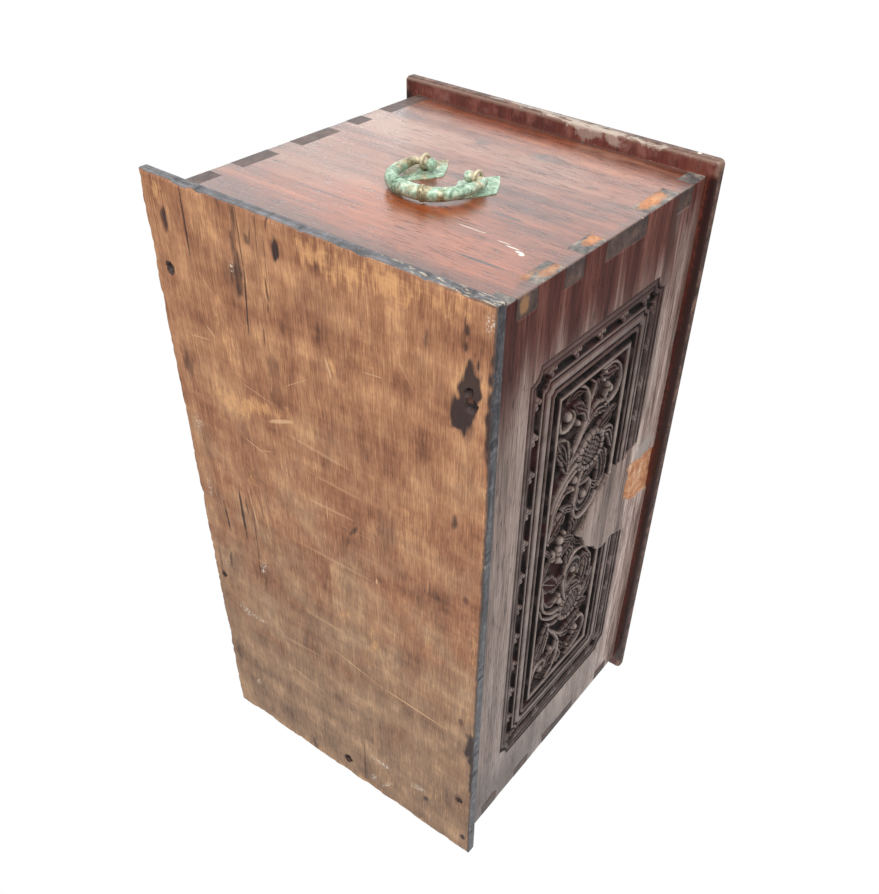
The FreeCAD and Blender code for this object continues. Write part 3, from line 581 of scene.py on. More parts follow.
def slab(name, face, rear, left_out, marks, row_stops, column_stops):
    """A closed slab between two point grids, with walls round every border and opening.

    left_out says which cells are missing. A wall stands on every cell edge that only one kept
    cell uses, found by pairing each directed edge with its reverse. The rear is plain, so it
    is one face for each block between the stops, which takes in every grid point on its rim.
    """
    rows, cols = face.shape[:2]
    total = rows * cols
    index = np.arange(total).reshape(rows, cols)
    cell = np.stack([index[:-1, :-1], index[:-1, 1:], index[1:, 1:], index[1:, :-1]], -1)
    cell = cell[~left_out]
    edges = np.concatenate([cell[:, [i, (i + 1) % 4]] for i in range(4)])
    there = edges[:, 0] * total + edges[:, 1]
    back_again = edges[:, 1] * total + edges[:, 0]
    rim = edges[~np.isin(there, back_again)]
    wall = np.stack([rim[:, 1], rim[:, 0], rim[:, 0] + total, rim[:, 1] + total], -1)
    blocks = []
    for a, b in zip(row_stops[:-1], row_stops[1:]):
        for c, d in zip(column_stops[:-1], column_stops[1:]):
            if not left_out[a, c]:
                blocks.append(np.concatenate([index[a:b, c], index[b, c:d], index[b:a:-1, d],
                                              index[a, d:c:-1]]) + total)
    points = np.concatenate([face.reshape(-1, 3), rear.reshape(-1, 3)]) * MM
    used, corners = np.unique(np.concatenate([cell.ravel(), wall.ravel(), *blocks]),
                              return_inverse=True)
    fours = 4 * (len(cell) + len(wall))
    cuts = np.cumsum([len(block) for block in blocks])[:-1]
    faces = corners[:fours].reshape(-1, 4).tolist() + [
        block.tolist() for block in np.split(corners[fours:], cuts)]
    values = {key: np.tile(value.ravel(), 2)[used] for key, value in marks.items()}
    piece = new_mesh(name, points[used], faces, values)
    piece.data.polygons.foreach_set("use_smooth", np.arange(len(faces)) < len(cell))
    piece.data.calc_loop_triangles()
    print(name, len(piece.data.loop_triangles), "triangles")
    return piece


# %% [markdown]
# Parting the board in two
# The carved field fills the middle, and the surround is the ring outside it. At both ends of
# the ring, the cells where an end board's pins come through are left out. A real pin widens
# inwards, so the grid leans a little beside each socket and the socket does the same. Cutting
# the sockets with a boolean would give the same holes, but would break up the even grid.

# %% Where the board is parted, and its joints
HOLLOW = 42.5              # inset of the deep hollow, where the two meshes part
FIELD_LEFT = HOLLOW - PANEL_HALF
FIELD_RIGHT = PANEL_HALF - HOLLOW - RIGHT_EXTRA
FIELD_LOW = PANEL_FOOT + HOLLOW
FIELD_HIGH = PANEL_TOP - HOLLOW
BOARD_TOP = WALL_HEIGHT / MM
HALF_LENGTH = float(front_high[0]) / MM
END_THICK = 16.5
TAIL_X = HALF_LENGTH - END_THICK
CORNER_WEAR = 1.5
# height of each pin's middle as a share of the wall, and its width
PIN_PLACES = ((0.13, 24.0), (0.325, 25.0), (0.57, 61.0), (0.885, 24.0))
PIN_LEAN = 1.0
PIN_PULL = 5               # how far from a socket the grid still leans
JOINT_GAP = 0.15
pin_edges = [(share * BOARD_TOP - width / 2, share * BOARD_TOP + width / 2)
             for share, width in PIN_PLACES]
print("pins on each end:", [[round(edge, 1) for edge in pair] for pair in pin_edges], "mm")


# %% Carving a grid
def carve(name, xs, zs, ring):
    """Work out the face on the grid, with its tones as point values.

    On the ring, cells in the panel's middle and in the pins' sockets are left out, and the
    grid leans beside each pin, so the sockets flare by PIN_LEAN over the end's thickness.
    """
    x, z = np.meshgrid(xs, zs)
    height, marks = carved_face(x, z)
    cx, cz = (x[1:, 1:] + x[:-1, :-1]) / 2, (z[1:, 1:] + z[:-1, :-1]) / 2
    left_out = np.zeros(cx.shape, bool)
    round_off = np.zeros(x.shape)
    moved = z.copy()
    row_marks, column_marks = (zs[0], zs[-1]), (xs[0], xs[-1])
    if ring:
        left_out |= (cx > FIELD_LEFT) & (cx < FIELD_RIGHT) & (cz > FIELD_LOW) & (cz < FIELD_HIGH)
        out = np.clip((np.abs(x) - TAIL_X) / (HALF_LENGTH - TAIL_X), 0, 1)
        for low, high in pin_edges:
            left_out |= (np.abs(cx) > TAIL_X) & (cz > low) & (cz < high)
            wide = (PIN_LEAN * (1 - out) + JOINT_GAP) * (np.abs(x) >= TAIL_X - 0.01)
            moved -= wide * ease(PIN_PULL, 0, np.abs(z - low))
            moved += wide * ease(PIN_PULL, 0, np.abs(z - high))
        t = np.clip((np.abs(x) - HALF_LENGTH + CORNER_WEAR) / CORNER_WEAR, 0, 1)
        round_off = CORNER_WEAR * (1 - np.sqrt(1 - t * t))
        row_marks = sorted([0, FIELD_LOW, FIELD_HIGH, BOARD_TOP, *np.ravel(pin_edges)])
        column_marks = (xs[0], -TAIL_X, FIELD_LEFT, FIELD_RIGHT, TAIL_X, xs[-1])
    face = np.stack([x, FACE_Y / MM - height + round_off, moved + WALL_FOOT / MM], -1)
    rear = face.copy()
    rear[..., 1] = (FACE_Y + FRONT_THICK) / MM
    places = [np.abs(lines[:, None] - np.array(at)).argmin(0)
              for lines, at in ((zs, row_marks), (xs, column_marks))]
    return slab(name, face, rear, left_out, marks, *places)


# %% Grid lines
def stops_between(low, high):
    """Both limits and every pin's edge between them, in order."""
    return sorted({low, high, *[e for e in np.ravel(pin_edges).tolist() if low < e < high]})


def mirrored(low, high, insets, step):
    """Grid lines at the insets from both limits, and evenly spaced between."""
    middle = spaced((low + insets[-1], high - insets[-1]), step)[1:-1]
    return np.concatenate([low + insets, middle, (high - insets)[::-1]])


# grid lines across the frames, as insets, so that every arris falls on a line
OUTER_INSETS = np.concatenate([
    [-2, -0.6, 0, 1.2, 1.6, 2.1, 2.7, 3.2, 4.6, 5.8, 6.6, 7.2, 8.2, 8.8],
    spaced((9.8, 19.2), 1.15),
    [20, 20.2, 20.8, 21.8, 23, 23.7, 24.1, 24.6, 25.2, 25.7, 26.4, 27.8, 29.2, 31, 32.4, 33.4,
     33.8, 34.6, 35.4, 36.1, 37, 38, 39, 39.7, 40.3, 41.2, HOLLOW]])
INNER_INSETS = np.array([HOLLOW, 44.2, 45.3, 45.6, 46.4, 47.2, 48.2, 49.4, 50.6, 51.4, 52, 52.6])
PLAIN_FROM = 2             # how far outside the panel's outline the coarse grid begins
FRAME_STEP = 1.0
SIDE_STEP = 3.0
MARGIN_STEP = 2.4
FIELD_STEP = 0.74
shifted = RIGHT_EXTRA * (OUTER_INSETS > ROW_WALL - 1)
corner_lines = HALF_LENGTH - CORNER_WEAR * np.array([1, 0.6, 0.3, 0.1, 0])
margin_x = np.concatenate([spaced((PANEL_HALF + PLAIN_FROM, TAIL_X), SIDE_STEP)[1:],
                           [TAIL_X + 7], corner_lines])
outer_x = np.concatenate([
    -margin_x[::-1], OUTER_INSETS - PANEL_HALF,
    spaced((FIELD_LEFT, FIELD_RIGHT), FRAME_STEP)[1:-1],
    (PANEL_HALF - OUTER_INSETS - shifted)[::-1], margin_x])
foot_lines, top_lines = PANEL_FOOT + OUTER_INSETS, (PANEL_TOP - OUTER_INSETS)[::-1]
for edge in np.ravel(pin_edges):
    for lines in (foot_lines, top_lines):
        if lines[0] < edge < lines[-1]:
            lines[np.abs(lines - edge).argmin()] = edge
outer_z = np.concatenate([
    spaced(stops_between(0, PANEL_FOOT - PLAIN_FROM), MARGIN_STEP)[:-1], foot_lines,
    spaced(stops_between(FIELD_LOW, FIELD_HIGH), FRAME_STEP)[1:-1], top_lines,
    spaced(stops_between(PANEL_TOP + PLAIN_FROM, BOARD_TOP), MARGIN_STEP)[1:]])
inner_x = mirrored(-PANEL_HALF, PANEL_HALF - RIGHT_EXTRA, INNER_INSETS, FIELD_STEP)
inner_z = mirrored(PANEL_FOOT, PANEL_TOP, INNER_INSETS, FIELD_STEP)
print("surround:", len(outer_x), "by", len(outer_z), "lines, field:", len(inner_x), "by",
      len(inner_z))

# %% Carved field and its surround
surround = carve("front_board_surround", outer_x, outer_z, True)
field = carve("carved_field", inner_x, inner_z, False)
for piece in (surround, field):
    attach(piece, "carcass")
    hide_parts("front_board")


# %% [markdown]
# The bottom board
# The bottom is bare wood that has been dragged over floors for years. It is a slab with worn
# arrises, and what time has done to it is listed as marks, in millimetres from the middle of
# the chest. Stains, rust, pale scuffs and flecks are ellipses with ragged edges, and are kept
# as values on the mesh's points. Scratches and gouges are thin strokes from point to point,
# too thin for the grid, so the material draws them. Worm holes are pits in the mesh itself.

# %% Marks on the underside
# x, y, half-length, half-width, turn in degrees, strength, raggedness
STAINS = (
    (-240, -144, 28, 8.4, 4, 1.0, 0.6), (-222, -137, 15, 9, 0, 0.95, 0.7),
    (-292, 27, 11, 4.2, 3, 0.85, 0.6), (-291, 56, 5.5, 3.0, 0, 0.4, 0.7),
    (-280, 146, 12, 3.8, 4, 0.55, 0.5), (-238, 150, 6, 4.6, 0, 0.9, 0.3),
    (-262, 71, 29, 6.5, 2, 0.5, 0.8), (-296, 68, 24, 3, 2, 0.4, 0.8),
    (-148, 150, 26, 9, 0, 0.4, 0.9), (-126, -134, 8, 3.4, 0, 0.5, 0.7),
    (-268, -108, 10, 4, 0, 0.35, 0.8), (-289, -141, 5, 2.6, 0, 0.5, 0.4),
    (-277, -140, 5, 2.4, 0, 0.45, 0.4), (-230, -162, 42, 5, 0, 0.7, 0.8),
    (135, -160, 24, 7, 2, 0.85, 0.9), (180, -163, 36, 4, 0, 0.6, 0.8),
    (290, -155, 4, 3, 0, 0.9, 0.4), (265, -107, 7, 4, 10, 0.6, 0.6),
    (222, 156, 26, 5, 3, 0.36, 0.9), (103, 157, 7, 4, 0, 0.5, 0.7),
    (288, 0, 7.5, 5, 8, 0.95, 0.4), (303, 52, 14, 9, 0, 0.4, 0.9),
    (-68, 42, 13, 9, 0, 0.2, 0.9), (-190, 44, 14, 7, 0, 0.3, 0.9),
    (-60, -31, 8, 3, 30, 0.5, 0.6), (62, 142, 12, 4, 0, 0.25, 0.8),
    (285, 144, 9, 4, 0, 0.2, 0.8),
    (-262, 4, 24, 16, 0, 0.14, 1.0), (105, 30, 34, 24, 0, 0.24, 1.0),
    (175, 95, 60, 36, 0, 0.16, 1.0), (-80, -66, 26, 13, 0, 0.26, 1.0),
    (-20, -122, 40, 10, 0, 0.2, 1.0), (240, -10, 44, 20, 0, 0.12, 1.0),
    (-265, 78, 30, 14, 0, 0.2, 1.0), (-30, -95, 60, 16, 0, 0.12, 1.0),
)
RUST = ((-51, -148, 4.4, 3.2, 0, 0.9, 0.2), (105, -148, 6, 3.2, 0, 0.9, 0.3),
        (229, -147, 9, 3.4, 0, 0.7, 0.5), (-222, -140, 19, 9, -4, 0.5, 0.6),
        (75, 136, 18, 7, 14, 0.5, 0.8), (300, 50, 18, 10, 0, 0.35, 0.8),
        (-284, 49, 42, 12, 2, 0.26, 0.9), (-255, 6, 20, 7, 3, 0.2, 0.9))
PALE = (
    (-144, 60, 34, 9, 80, 0.75, 1.0), (-132, 100, 24, 13, 90, 0.75, 0.9),
    (-165, 90, 26, 12, 0, 0.45, 1.1), (-205, 95, 26, 10, 0, 0.4, 1.1),
    (-20, -38, 36, 10, 90, 0.3, 0.9), (-300, -70, 16, 24, 0, 0.85, 1.1),
    (-298, -20, 18, 30, 0, 0.75, 1.1), (-302, -115, 14, 30, 0, 0.5, 1.0),
    (-286, 96, 22, 12, 0, 0.55, 1.0), (-270, 42, 30, 6, 0, 0.5, 1.0),
    (280, -60, 26, 18, 0, 0.3, 1.0), (250, -120, 40, 18, 0, 0.3, 1.0),
    (310, 0, 7, 150, 0, 0.55, 1.0), (72, -45, 20, 14, 0, 0.4, 1.2),
    (62, -12, 17, 8, 0, 0.35, 1.2), (-35, 90, 42, 5, -4, 0.5, 0.9), (45, 92, 34, 5, 6, 0.5, 0.9),
    (0, 78, 50, 4, -3, 0.35, 0.9), (-56, -32, 9, 6, 0, 0.45, 0.9), (0, -158, 60, 5, 0, 0.4, 0.9),
    (-300, 152, 12, 9, 0, 0.6, 0.9), (-110, -90, 60, 14, 0, 0.2, 1.1),
    (-240, -50, 26, 20, 0, 0.3, 1.1), (-215, -20, 9, 3, -22, 0.8, 0.7),
)
SPECKS = (
    (255, -96, 5, 10, -10, 1, 0.6), (256, -50, 4, 16, 0, 1, 0.6), (286, -56, 12, 2.4, 38, 1, 1),
    (291, -37, 5, 3, 20, 1, 1), (139, 132, 7, 12, 20, 1, 0.9), (142, 117, 3, 10, 0, 1, 1),
    (256, 131, 4, 3, 30, 1, 0.8), (-264, 76, 5, 2, 8, 1, 0.8), (56, 92, 9, 4, 20, 1, 1),
    (84, 153, 9, 5, 0, 0.8, 1), (-88, 153, 8, 5, 0, 0.8, 1), (-15, 153, 16, 4, 0, 0.7, 1),
    (110, -166, 10, 2, 0, 1, 1), (-300, -160, 10, 5, 0, 0.8, 1),
)
# round holes: x, y, radius, depth
HOLES = ((-243.5, -144, 3.2, 6.0), (-234, -146, 4.6, 6.0), (-238, 150.5, 3.6, 6.0),
         (288.5, -0.5, 4.2, 5.0), (229, -149, 4.0, 1.2), (103, 156, 3.0, 1.4))
# thin marks: from x, y to x, y, half-width, strength
SCRATCHES = (
    (129, -134, 126.5, -50, 0.9, 1.0), (127, -56, 113, 20, 0.7, 0.8),
    (98, -120, 101, -30, 0.5, 0.25), (-258, -73, -220, -101, 0.4, 0.4),
    (-72, -34, -68, 24, 1.6, 0.35), (-124, -34, -128, 40, 2.0, 0.35),
    (-99, -47, -99, 15, 1.6, 0.3), (-91, 61, -101, 95, 0.6, 0.8), (-101, 55, -93, 78, 0.5, 0.6),
    (-195, 3, -174, 36, 0.5, 0.5), (-80, -2, -53, -1, 0.8, 0.6), (138, 20, 145, 88, 1.6, 0.3),
    (197, 20, 186, 78, 2.0, 0.35), (80, -18, 81, 46, 1.8, 0.3), (-145, 26, -130, 62, 2.2, 0.8),
    (-222, -13, -201, -19, 1.2, 0.9), (-200, 118, -190, 108, 0.9, 0.8),
    (-187, 112, -182, 142, 0.6, 0.6), (-225, -72, -222, -48, 0.6, 0.6),
    (-60, -60, -58, -10, 0.5, 0.3), (-12, -60, -8, 50, 1.8, 0.3), (-150, 40, -160, 92, 0.6, 0.5),
    (40, 60, 46, -20, 0.4, 0.25), (-250, 120, -228, 100, 0.5, 0.5), (-28, 78, 12, 74, 1.2, 0.5),
    (-45, 98, 14, 90, 1.4, 0.6), (-19, -54, -11, -54, 1.0, 1.0),
)
GOUGES = (
    (-270, 62, -204, 68, 1.0, 1.0), (-318, 64, -250, 63, 0.6, 0.8),
    (-318, 122, -246, 123, 1.0, 1.0), (-318, 32, -302, 35, 0.9, 0.8),
    (-267, 41, -243, 40, 1.1, 0.8), (-246, 41, -236, 42, 0.6, 0.9),
    (-222, 49, -203, 51, 0.8, 0.7), (-300, 51, -285, 54, 0.9, 0.6), (-318, 44, -280, 46, 0.5, 0.6),
    (-300, 38, -262, 39, 0.4, 0.5), (-318, -140, -262, -139, 0.4, 0.6),
    (228, -26, 318, -24, 0.7, 1),
    (-36, 111, 32, 110, 2.0, 1.0), (-6, 136, 34, 133, 1.6, 0.9), (-40, 94, 84, 99, 0.5, 0.9),
    (-30, 104, -4, 102, 1.2, 0.7), (-42, 86, -8, 80, 0.8, 0.5), (60, 139, 86, 142, 1.8, 0.7),
    (-246, 64, -205, 67, 0.5, 0.7), (-300, -139, -285, -139, 0.6, 0.8), (60, 157, 100, 158, 1, 0.7),
)

print("marks on the bottom:", {"stains": len(STAINS), "rust": len(RUST), "scuffs": len(PALE),
                               "flecks": len(SPECKS), "strokes": len(SCRATCHES + GOUGES)})


# %% Ragged ellipses on the grid
def ellipses(x, y, marks, seed):
    """The strongest of many ragged ellipses: 1 inside, easing to 0 at the edge."""
    total = np.zeros(x.shape)
    grainy = value_noise(x * 0.35, y, 2.6, seed) - 0.5
    cloudy = value_noise(x, y, 9.0, seed + 1) - 0.5
    for cx, cy, long, wide, turn, strength, ragged in marks:
        c, s = np.cos(np.radians(turn)), np.sin(np.radians(turn))
        u = ((x - cx) * c + (y - cy) * s) / long
        v = ((y - cy) * c - (x - cx) * s) / wide
        r = np.sqrt(u * u + v * v) + ragged * (0.9 * grainy + 0.6 * cloudy)
        soft = 0.25 + 0.55 * min(ragged, 1)
        total = np.maximum(total, strength * ease(1 + soft / 2, 1 - soft, r))
    return total


# %% [markdown]
# The worn slab
# A board like this could be a cube with a bevel, but its arrises are worn unevenly and chipped.
# Here the lower face is a grid that falls away at the border by a varying radius, and the
# border itself is pulled in where a chip is missing. The grid is fine near the border only.

# %% Grid of the slab
BASE_STEP = 1.6
BASE_ARRIS = 2.2
CHIP_REACH = 3.0           # how far in from the border the chips pull the grid
base_lo, base_hi = base_low / MM, base_high / MM


def worn_edge(low, high, step, radius):
    """Grid lines close together within the radius of both ends, and even between."""
    near = radius * np.array([0, 0.08, 0.22, 0.45, 0.75, 1.1, 1.6])
    return np.concatenate([low + near, spaced((low + 2 * radius, high - 2 * radius), step),
                           high - near[::-1]])


def pulled_in(values, low, high, amount):
    """Border points moved in by the chipping of the arris."""
    reach = np.clip(1 - np.minimum(values - low, high - values) / CHIP_REACH, 0, 1)
    return values + np.where(values - low < high - values, 1, -1) * amount * reach


bx, by = np.meshgrid(worn_edge(base_lo[0], base_hi[0], BASE_STEP, BASE_ARRIS),
                     worn_edge(base_lo[1], base_hi[1], BASE_STEP, BASE_ARRIS))
from_middle = by - MIDDLE_Y / MM
print("grid of the slab:", bx.shape)

# %% Wear of the slab
stain, rust, pale, specks = (ellipses(bx, from_middle, marks, seed) for marks, seed in (
    (STAINS, 31), (RUST, 35), (PALE, 39), (SPECKS, 43)))
# each hole is a ragged disc with steep sides
pit = np.zeros(bx.shape)
for hx, hy, radius, deep in HOLES:
    ring = np.hypot(bx - hx, from_middle - hy) + 1.2 * (value_noise(bx, by, 2.5, 51) - 0.5)
    pit = np.maximum(pit, deep * ease(radius + 0.6, radius - 0.8, ring))
# distance in from the nearest border
side = np.minimum(np.minimum(bx - base_lo[0], base_hi[0] - bx),
                  np.minimum(by - base_lo[1], base_hi[1] - by))
# the arris is a quarter circle whose radius changes along the border
arris = (1.5 + 2.6 * ease(0.5, 0.95, value_noise(bx, by, 17, 52))
         + 1.4 * ease(0.55, 0.9, value_noise(bx, by, 5, 53)))
fall = 1 - np.clip(side / arris, 0, 1)
rounded = arris * (1 - np.sqrt(np.clip(1 - fall ** 2, 0, 1)))
# the face dips finely along the grain, and more in broad hollows
grain_dip = (0.16 * (value_noise(bx * 0.06, by, 1.7, 54) - 0.5)
             + 0.35 * (value_noise(bx, by, 40, 55) - 0.5) * ease(0, 20, side))
raise_by = rounded * 0.75 + pit + np.maximum(grain_dip, -0.1) + 0.1
# how far the border is chipped away
chip = (1.3 * ease(0.62, 0.95, value_noise(bx, by, 6, 56))
        + 0.8 * ease(0.6, 0.9, value_noise(bx, by, 19, 57)))
print("deepest hole:", round(float(pit.max()), 1), "mm, widest arris:",
      round(float(arris.max()), 1), "mm")

# %% Bottom board as a closed slab
under = np.stack([pulled_in(bx, base_lo[0], base_hi[0], chip),
                  pulled_in(by, base_lo[1], base_hi[1], chip), base_lo[2] + raise_by], -1)
over = np.stack([pulled_in(bx, base_lo[0], base_hi[0], 0.25 * chip),
                 pulled_in(by, base_lo[1], base_hi[1], 0.25 * chip),
                 np.full(bx.shape, base_hi[2]) - 0.6 * np.clip(1 - side, 0, 1)], -1)
base_marks = {"stain": np.clip(stain + 0.9 * np.clip(pit, 0, 1), 0, 1),
              "rust": rust, "pale": pale, "speck": specks, "rim": ease(4.0, 0.5, side)}
edge_stops = [[0, 1, 2, 3, 4, count - 5, count - 4, count - 3, count - 2, count - 1]
              for count in bx.shape]
worn_bottom = slab("worn_bottom_board", under, over, np.zeros(np.subtract(bx.shape, 1), bool),
                   base_marks, *edge_stops)
worn_bottom.data.flip_normals()
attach(worn_bottom, "carcass")
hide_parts("bottom_board")


# %% [markdown]
# Building materials by name
# Every finish is a small network of nodes. A helper adds a node, sets its values and links the
# sockets it is given, so that each material below reads as a recipe.

# %% Nodes and sums
def shade(r, g, b):
    """A colour as it is seen on a screen, 0 to 255, turned into the linear values of light."""
    c = np.array([r, g, b]) / 255
    linear = np.where(c <= 0.04045, c / 12.92, ((c + 0.055) / 1.055) ** 2.4)
    return (*linear.tolist(), 1.0)


def plug(tree, node, sockets):
    """Set a node's inputs: other nodes' sockets are linked, and plain values are written."""
    for key, value in sockets.items():
        if isinstance(value, bpy.types.NodeSocket):
            tree.links.new(value, node.inputs[key])
        else:
            node.inputs[key].default_value = value
    return node


def add(tree, kind, sockets=None, **settings):
    """A node of a kind, with its settings and inputs."""
    node = tree.nodes.new(kind)
    for key, value in settings.items():
        setattr(node, key, value)
    return plug(tree, node, sockets or {})


def sum_node(tree, operation, a, b=0.0, clamp=False):
    """One sum on two values or sockets."""
    return add(tree, "ShaderNodeMath", {0: a, 1: b}, operation=operation,
               use_clamp=clamp).outputs[0]


def times(tree, a, b):
    """The product of two values or sockets, kept from 0 to 1."""
    return sum_node(tree, "MULTIPLY", a, b, clamp=True)


def plus(tree, a, b):
    """The sum of two values or sockets."""
    return sum_node(tree, "ADD", a, b)


def centred(tree, value, size):
    """A value from 0 to 1, moved and scaled to lie from -size / 2 to size / 2."""
    return sum_node(tree, "MULTIPLY", sum_node(tree, "SUBTRACT", value, 0.5), size)


def size_of(tree, value):
    """A value without its sign."""
    return sum_node(tree, "ABSOLUTE", value)


def split(tree, vector):
    """The three parts of a vector."""
    return add(tree, "ShaderNodeSeparateXYZ", {0: vector}).outputs


def vector_sum(tree, operation, a, b):
    """One sum on two vectors, part by part."""
    return add(tree, "ShaderNodeVectorMath", {0: a, 1: b}, operation=operation).outputs[0]


print("a mid grey on the screen is", round(shade(128, 128, 128)[0], 3), "of white as light")


# %% Textures and colours
def ramp(tree, value, low, high, to_low=0.0, to_high=1.0):
    """Ease a value from one range to another."""
    return add(tree, "ShaderNodeMapRange", {"Value": value, "From Min": low, "From Max": high,
                                            "To Min": to_low, "To Max": to_high},
               interpolation_type="SMOOTHSTEP").outputs["Result"]


def noise(tree, vector, scale, detail=3.0, roughness=0.55):
    """Cloudy noise from 0 to 1."""
    return add(tree, "ShaderNodeTexNoise", {"Vector": vector, "Scale": scale, "Detail": detail,
                                            "Roughness": roughness}).outputs["Fac"]


def stretch(tree, vector, scale, turn=(0.0, 0.0, 0.0), shift=(0.0, 0.0, 0.0)):
    """Coordinates moved, turned and stretched."""
    return add(tree, "ShaderNodeMapping", {"Vector": vector, "Scale": scale, "Rotation": turn,
                                           "Location": shift}).outputs["Vector"]


def over_by(tree, amount, under, over, mode="MIX"):
    """One colour laid over another by an amount."""
    node = add(tree, "ShaderNodeMix", None, data_type="RGBA", blend_type=mode)
    return plug(tree, node, {0: amount, 6: under, 7: over}).outputs[2]


def tone_ramp(tree, value, stops):
    """A colour picked from a row of tones by a value: stops are places from 0 to 1 and colours."""
    node = add(tree, "ShaderNodeValToRGB", {0: value})
    line = node.color_ramp.elements
    line.remove(line[1])
    line[0].position, line[0].color = stops[0][0], shade(*stops[0][1])
    for place, colour in stops[1:]:
        line.new(place).color = shade(*colour)
    return node.outputs[0]


def weigh(tree, layers):
    """0.5 plus each layer's distance from 0.5, times its weight."""
    total = 0.5
    for value, weight in layers:
        total = plus(tree, centred(tree, value, weight), total)
    return total


# %% Groups and materials
def new_group(name, inputs, outputs):
    """An empty node group, its inputs given as name and kind, its outputs as names."""
    group = bpy.data.node_groups.new(name, "ShaderNodeTree")
    for key, kind in inputs:
        group.interface.new_socket(name=key, in_out="INPUT", socket_type=kind)
    for key in outputs:
        group.interface.new_socket(name=key, in_out="OUTPUT", socket_type="NodeSocketFloat")
    return group, group.nodes.new("NodeGroupInput"), group.nodes.new("NodeGroupOutput")


def group_node(tree, group, sockets):
    """Place a group in a material and set its inputs."""
    return plug(tree, add(tree, "ShaderNodeGroup", None, node_tree=group), sockets).outputs


def new_material(name):
    """A material with a Principled surface, and its object coordinates and normals."""
    material = bpy.data.materials.new(name)
    material.use_nodes = True
    tree = material.node_tree
    coords = tree.nodes.new("ShaderNodeTexCoord")
    return material, tree, tree.nodes["Principled BSDF"], coords


def value_of(tree, name):
    """A point value of the piece's own mesh."""
    return add(tree, "ShaderNodeAttribute", None, attribute_name=name).outputs["Fac"]


def finish_with(material, tree, surface, colour, roughness, height, depth, strength):
    """Give the surface its colour, its roughness and a bump of a depth in metres."""
    bump = add(tree, "ShaderNodeBump", {"Height": height, "Strength": strength,
                                        "Distance": depth})
    plug(tree, surface, {"Base Color": colour, "Roughness": roughness,
                         "Normal": bump.outputs["Normal"]})
    print(material.name, len(tree.nodes), "nodes")
    return material


# %% [markdown]
# Wood grain as a shared effect
# Old hardwood shows three things at once: broad figure that changes slowly along the board,
# fine fibre, and short dark pores. All three are noise, stretched many times longer along the
# grain than across it. A wave texture makes stripes too, but too even for old wood. The group
# takes coordinates whose X runs with the grain.

# %% Grain group
SWAY = 0.014               # how far the grain wanders from straight, in metres


def grain_effect():
    """Three noises stretched along X, on coordinates that a slow noise pushes to and fro, and a
    cloud.
    """
    tree, given, out = new_group("grain", (("Vector", "NodeSocketVector"),),
                                 ("Figure", "Fibre", "Pores", "Cloud"))
    at = given.outputs["Vector"]
    push = add(tree, "ShaderNodeTexNoise", {"Vector": stretch(tree, at, (3, 11, 11)),
                                            "Scale": 1.0, "Detail": 2.0}).outputs["Color"]
    push = add(tree, "ShaderNodeVectorMath", {0: push, "Scale": SWAY}, operation="SCALE")
    bend = vector_sum(tree, "ADD", at, push.outputs[0])
    pore = noise(tree, stretch(tree, bend, (60, 900, 900), shift=(3, 1, 2)), 1.0, 1.0, 0.5)
    plug(tree, out, {
        "Figure": noise(tree, stretch(tree, bend, (2.6, 55, 55)), 1.0, 5.0, 0.62),
        "Fibre": noise(tree, stretch(tree, bend, (16, 700, 700)), 1.0, 3.0, 0.6),
        "Pores": ramp(tree, pore, 0.60, 0.72),
        "Cloud": noise(tree, at, 22.0, 4.0, 0.6)})
    print(tree.name, "puts out", [socket.name for socket in out.inputs if socket.name])
    return tree


grain_group = grain_effect()


# %% [markdown]
# Marks placed one by one in a material
# A knot, a drip or a stain on a board that keeps its model's mesh is an ellipse in space. The
# group takes where it is and how long it is each way, and gives 1 inside and 0 outside, with an
# edge made ragged by noise.

# %% Spot group
def spot_effect():
    """1 inside |(vector - place) / size| = 1, shaken by the wobble, easing to 0 at the edge."""
    sockets = [(key, "NodeSocketVector") for key in ("Vector", "Place", "Size")]
    sockets += [(key, "NodeSocketFloat") for key in ("Wobble", "Ragged")]
    tree, given, out = new_group("spot", sockets, ("Inside",))
    away = vector_sum(tree, "SUBTRACT", given.outputs["Vector"], given.outputs["Place"])
    away = vector_sum(tree, "DIVIDE", away, given.outputs["Size"])
    reach = add(tree, "ShaderNodeVectorMath", {0: away}, operation="LENGTH").outputs["Value"]
    shaken = centred(tree, given.outputs["Wobble"], given.outputs["Ragged"])
    plug(tree, out, {"Inside": ramp(tree, plus(tree, reach, shaken), 1.1, 0.55)})
    print(tree.name, "takes", [key for key, _ in sockets])
    return tree


spot_group = spot_effect()

# %% Spots and strokes
STROKE_DEPTH = 30
STROKE_RAGGED = 1.2


def spots(tree, vector, wobble, places):
    """The strongest of several spots: place and size in millimetres, raggedness, strength."""
    total = 0.0
    for at, size, ragged, strength in places:
        one = group_node(tree, spot_group, {
            "Vector": vector, "Wobble": wobble, "Ragged": ragged,
            "Place": [v * MM for v in at], "Size": [v * MM for v in size]})["Inside"]
        total = sum_node(tree, "MAXIMUM", total, times(tree, one, strength))
    return total


def strokes(tree, vector, wobble, lines):
    """The strongest of several thin marks: a spot on coordinates turned to lie along each."""
    total = 0.0
    for x0, y0, x1, y1, width, strength in lines:
        turn = math.atan2(y1 - y0, x1 - x0)
        c, s = math.cos(turn), math.sin(turn)
        x, y = (x0 + x1) / 2, (y0 + y1) / 2
        turned = stretch(tree, vector, (1, 1, 1), (0, 0, -turn))
        place = (x * c + y * s, y * c - x * s, 0)
        size = (math.hypot(x1 - x0, y1 - y0) / 2, width, STROKE_DEPTH)
        one = spots(tree, turned, wobble, ((place, size, STROKE_RAGGED, strength),))
        total = sum_node(tree, "MAXIMUM", total, one)
    return total


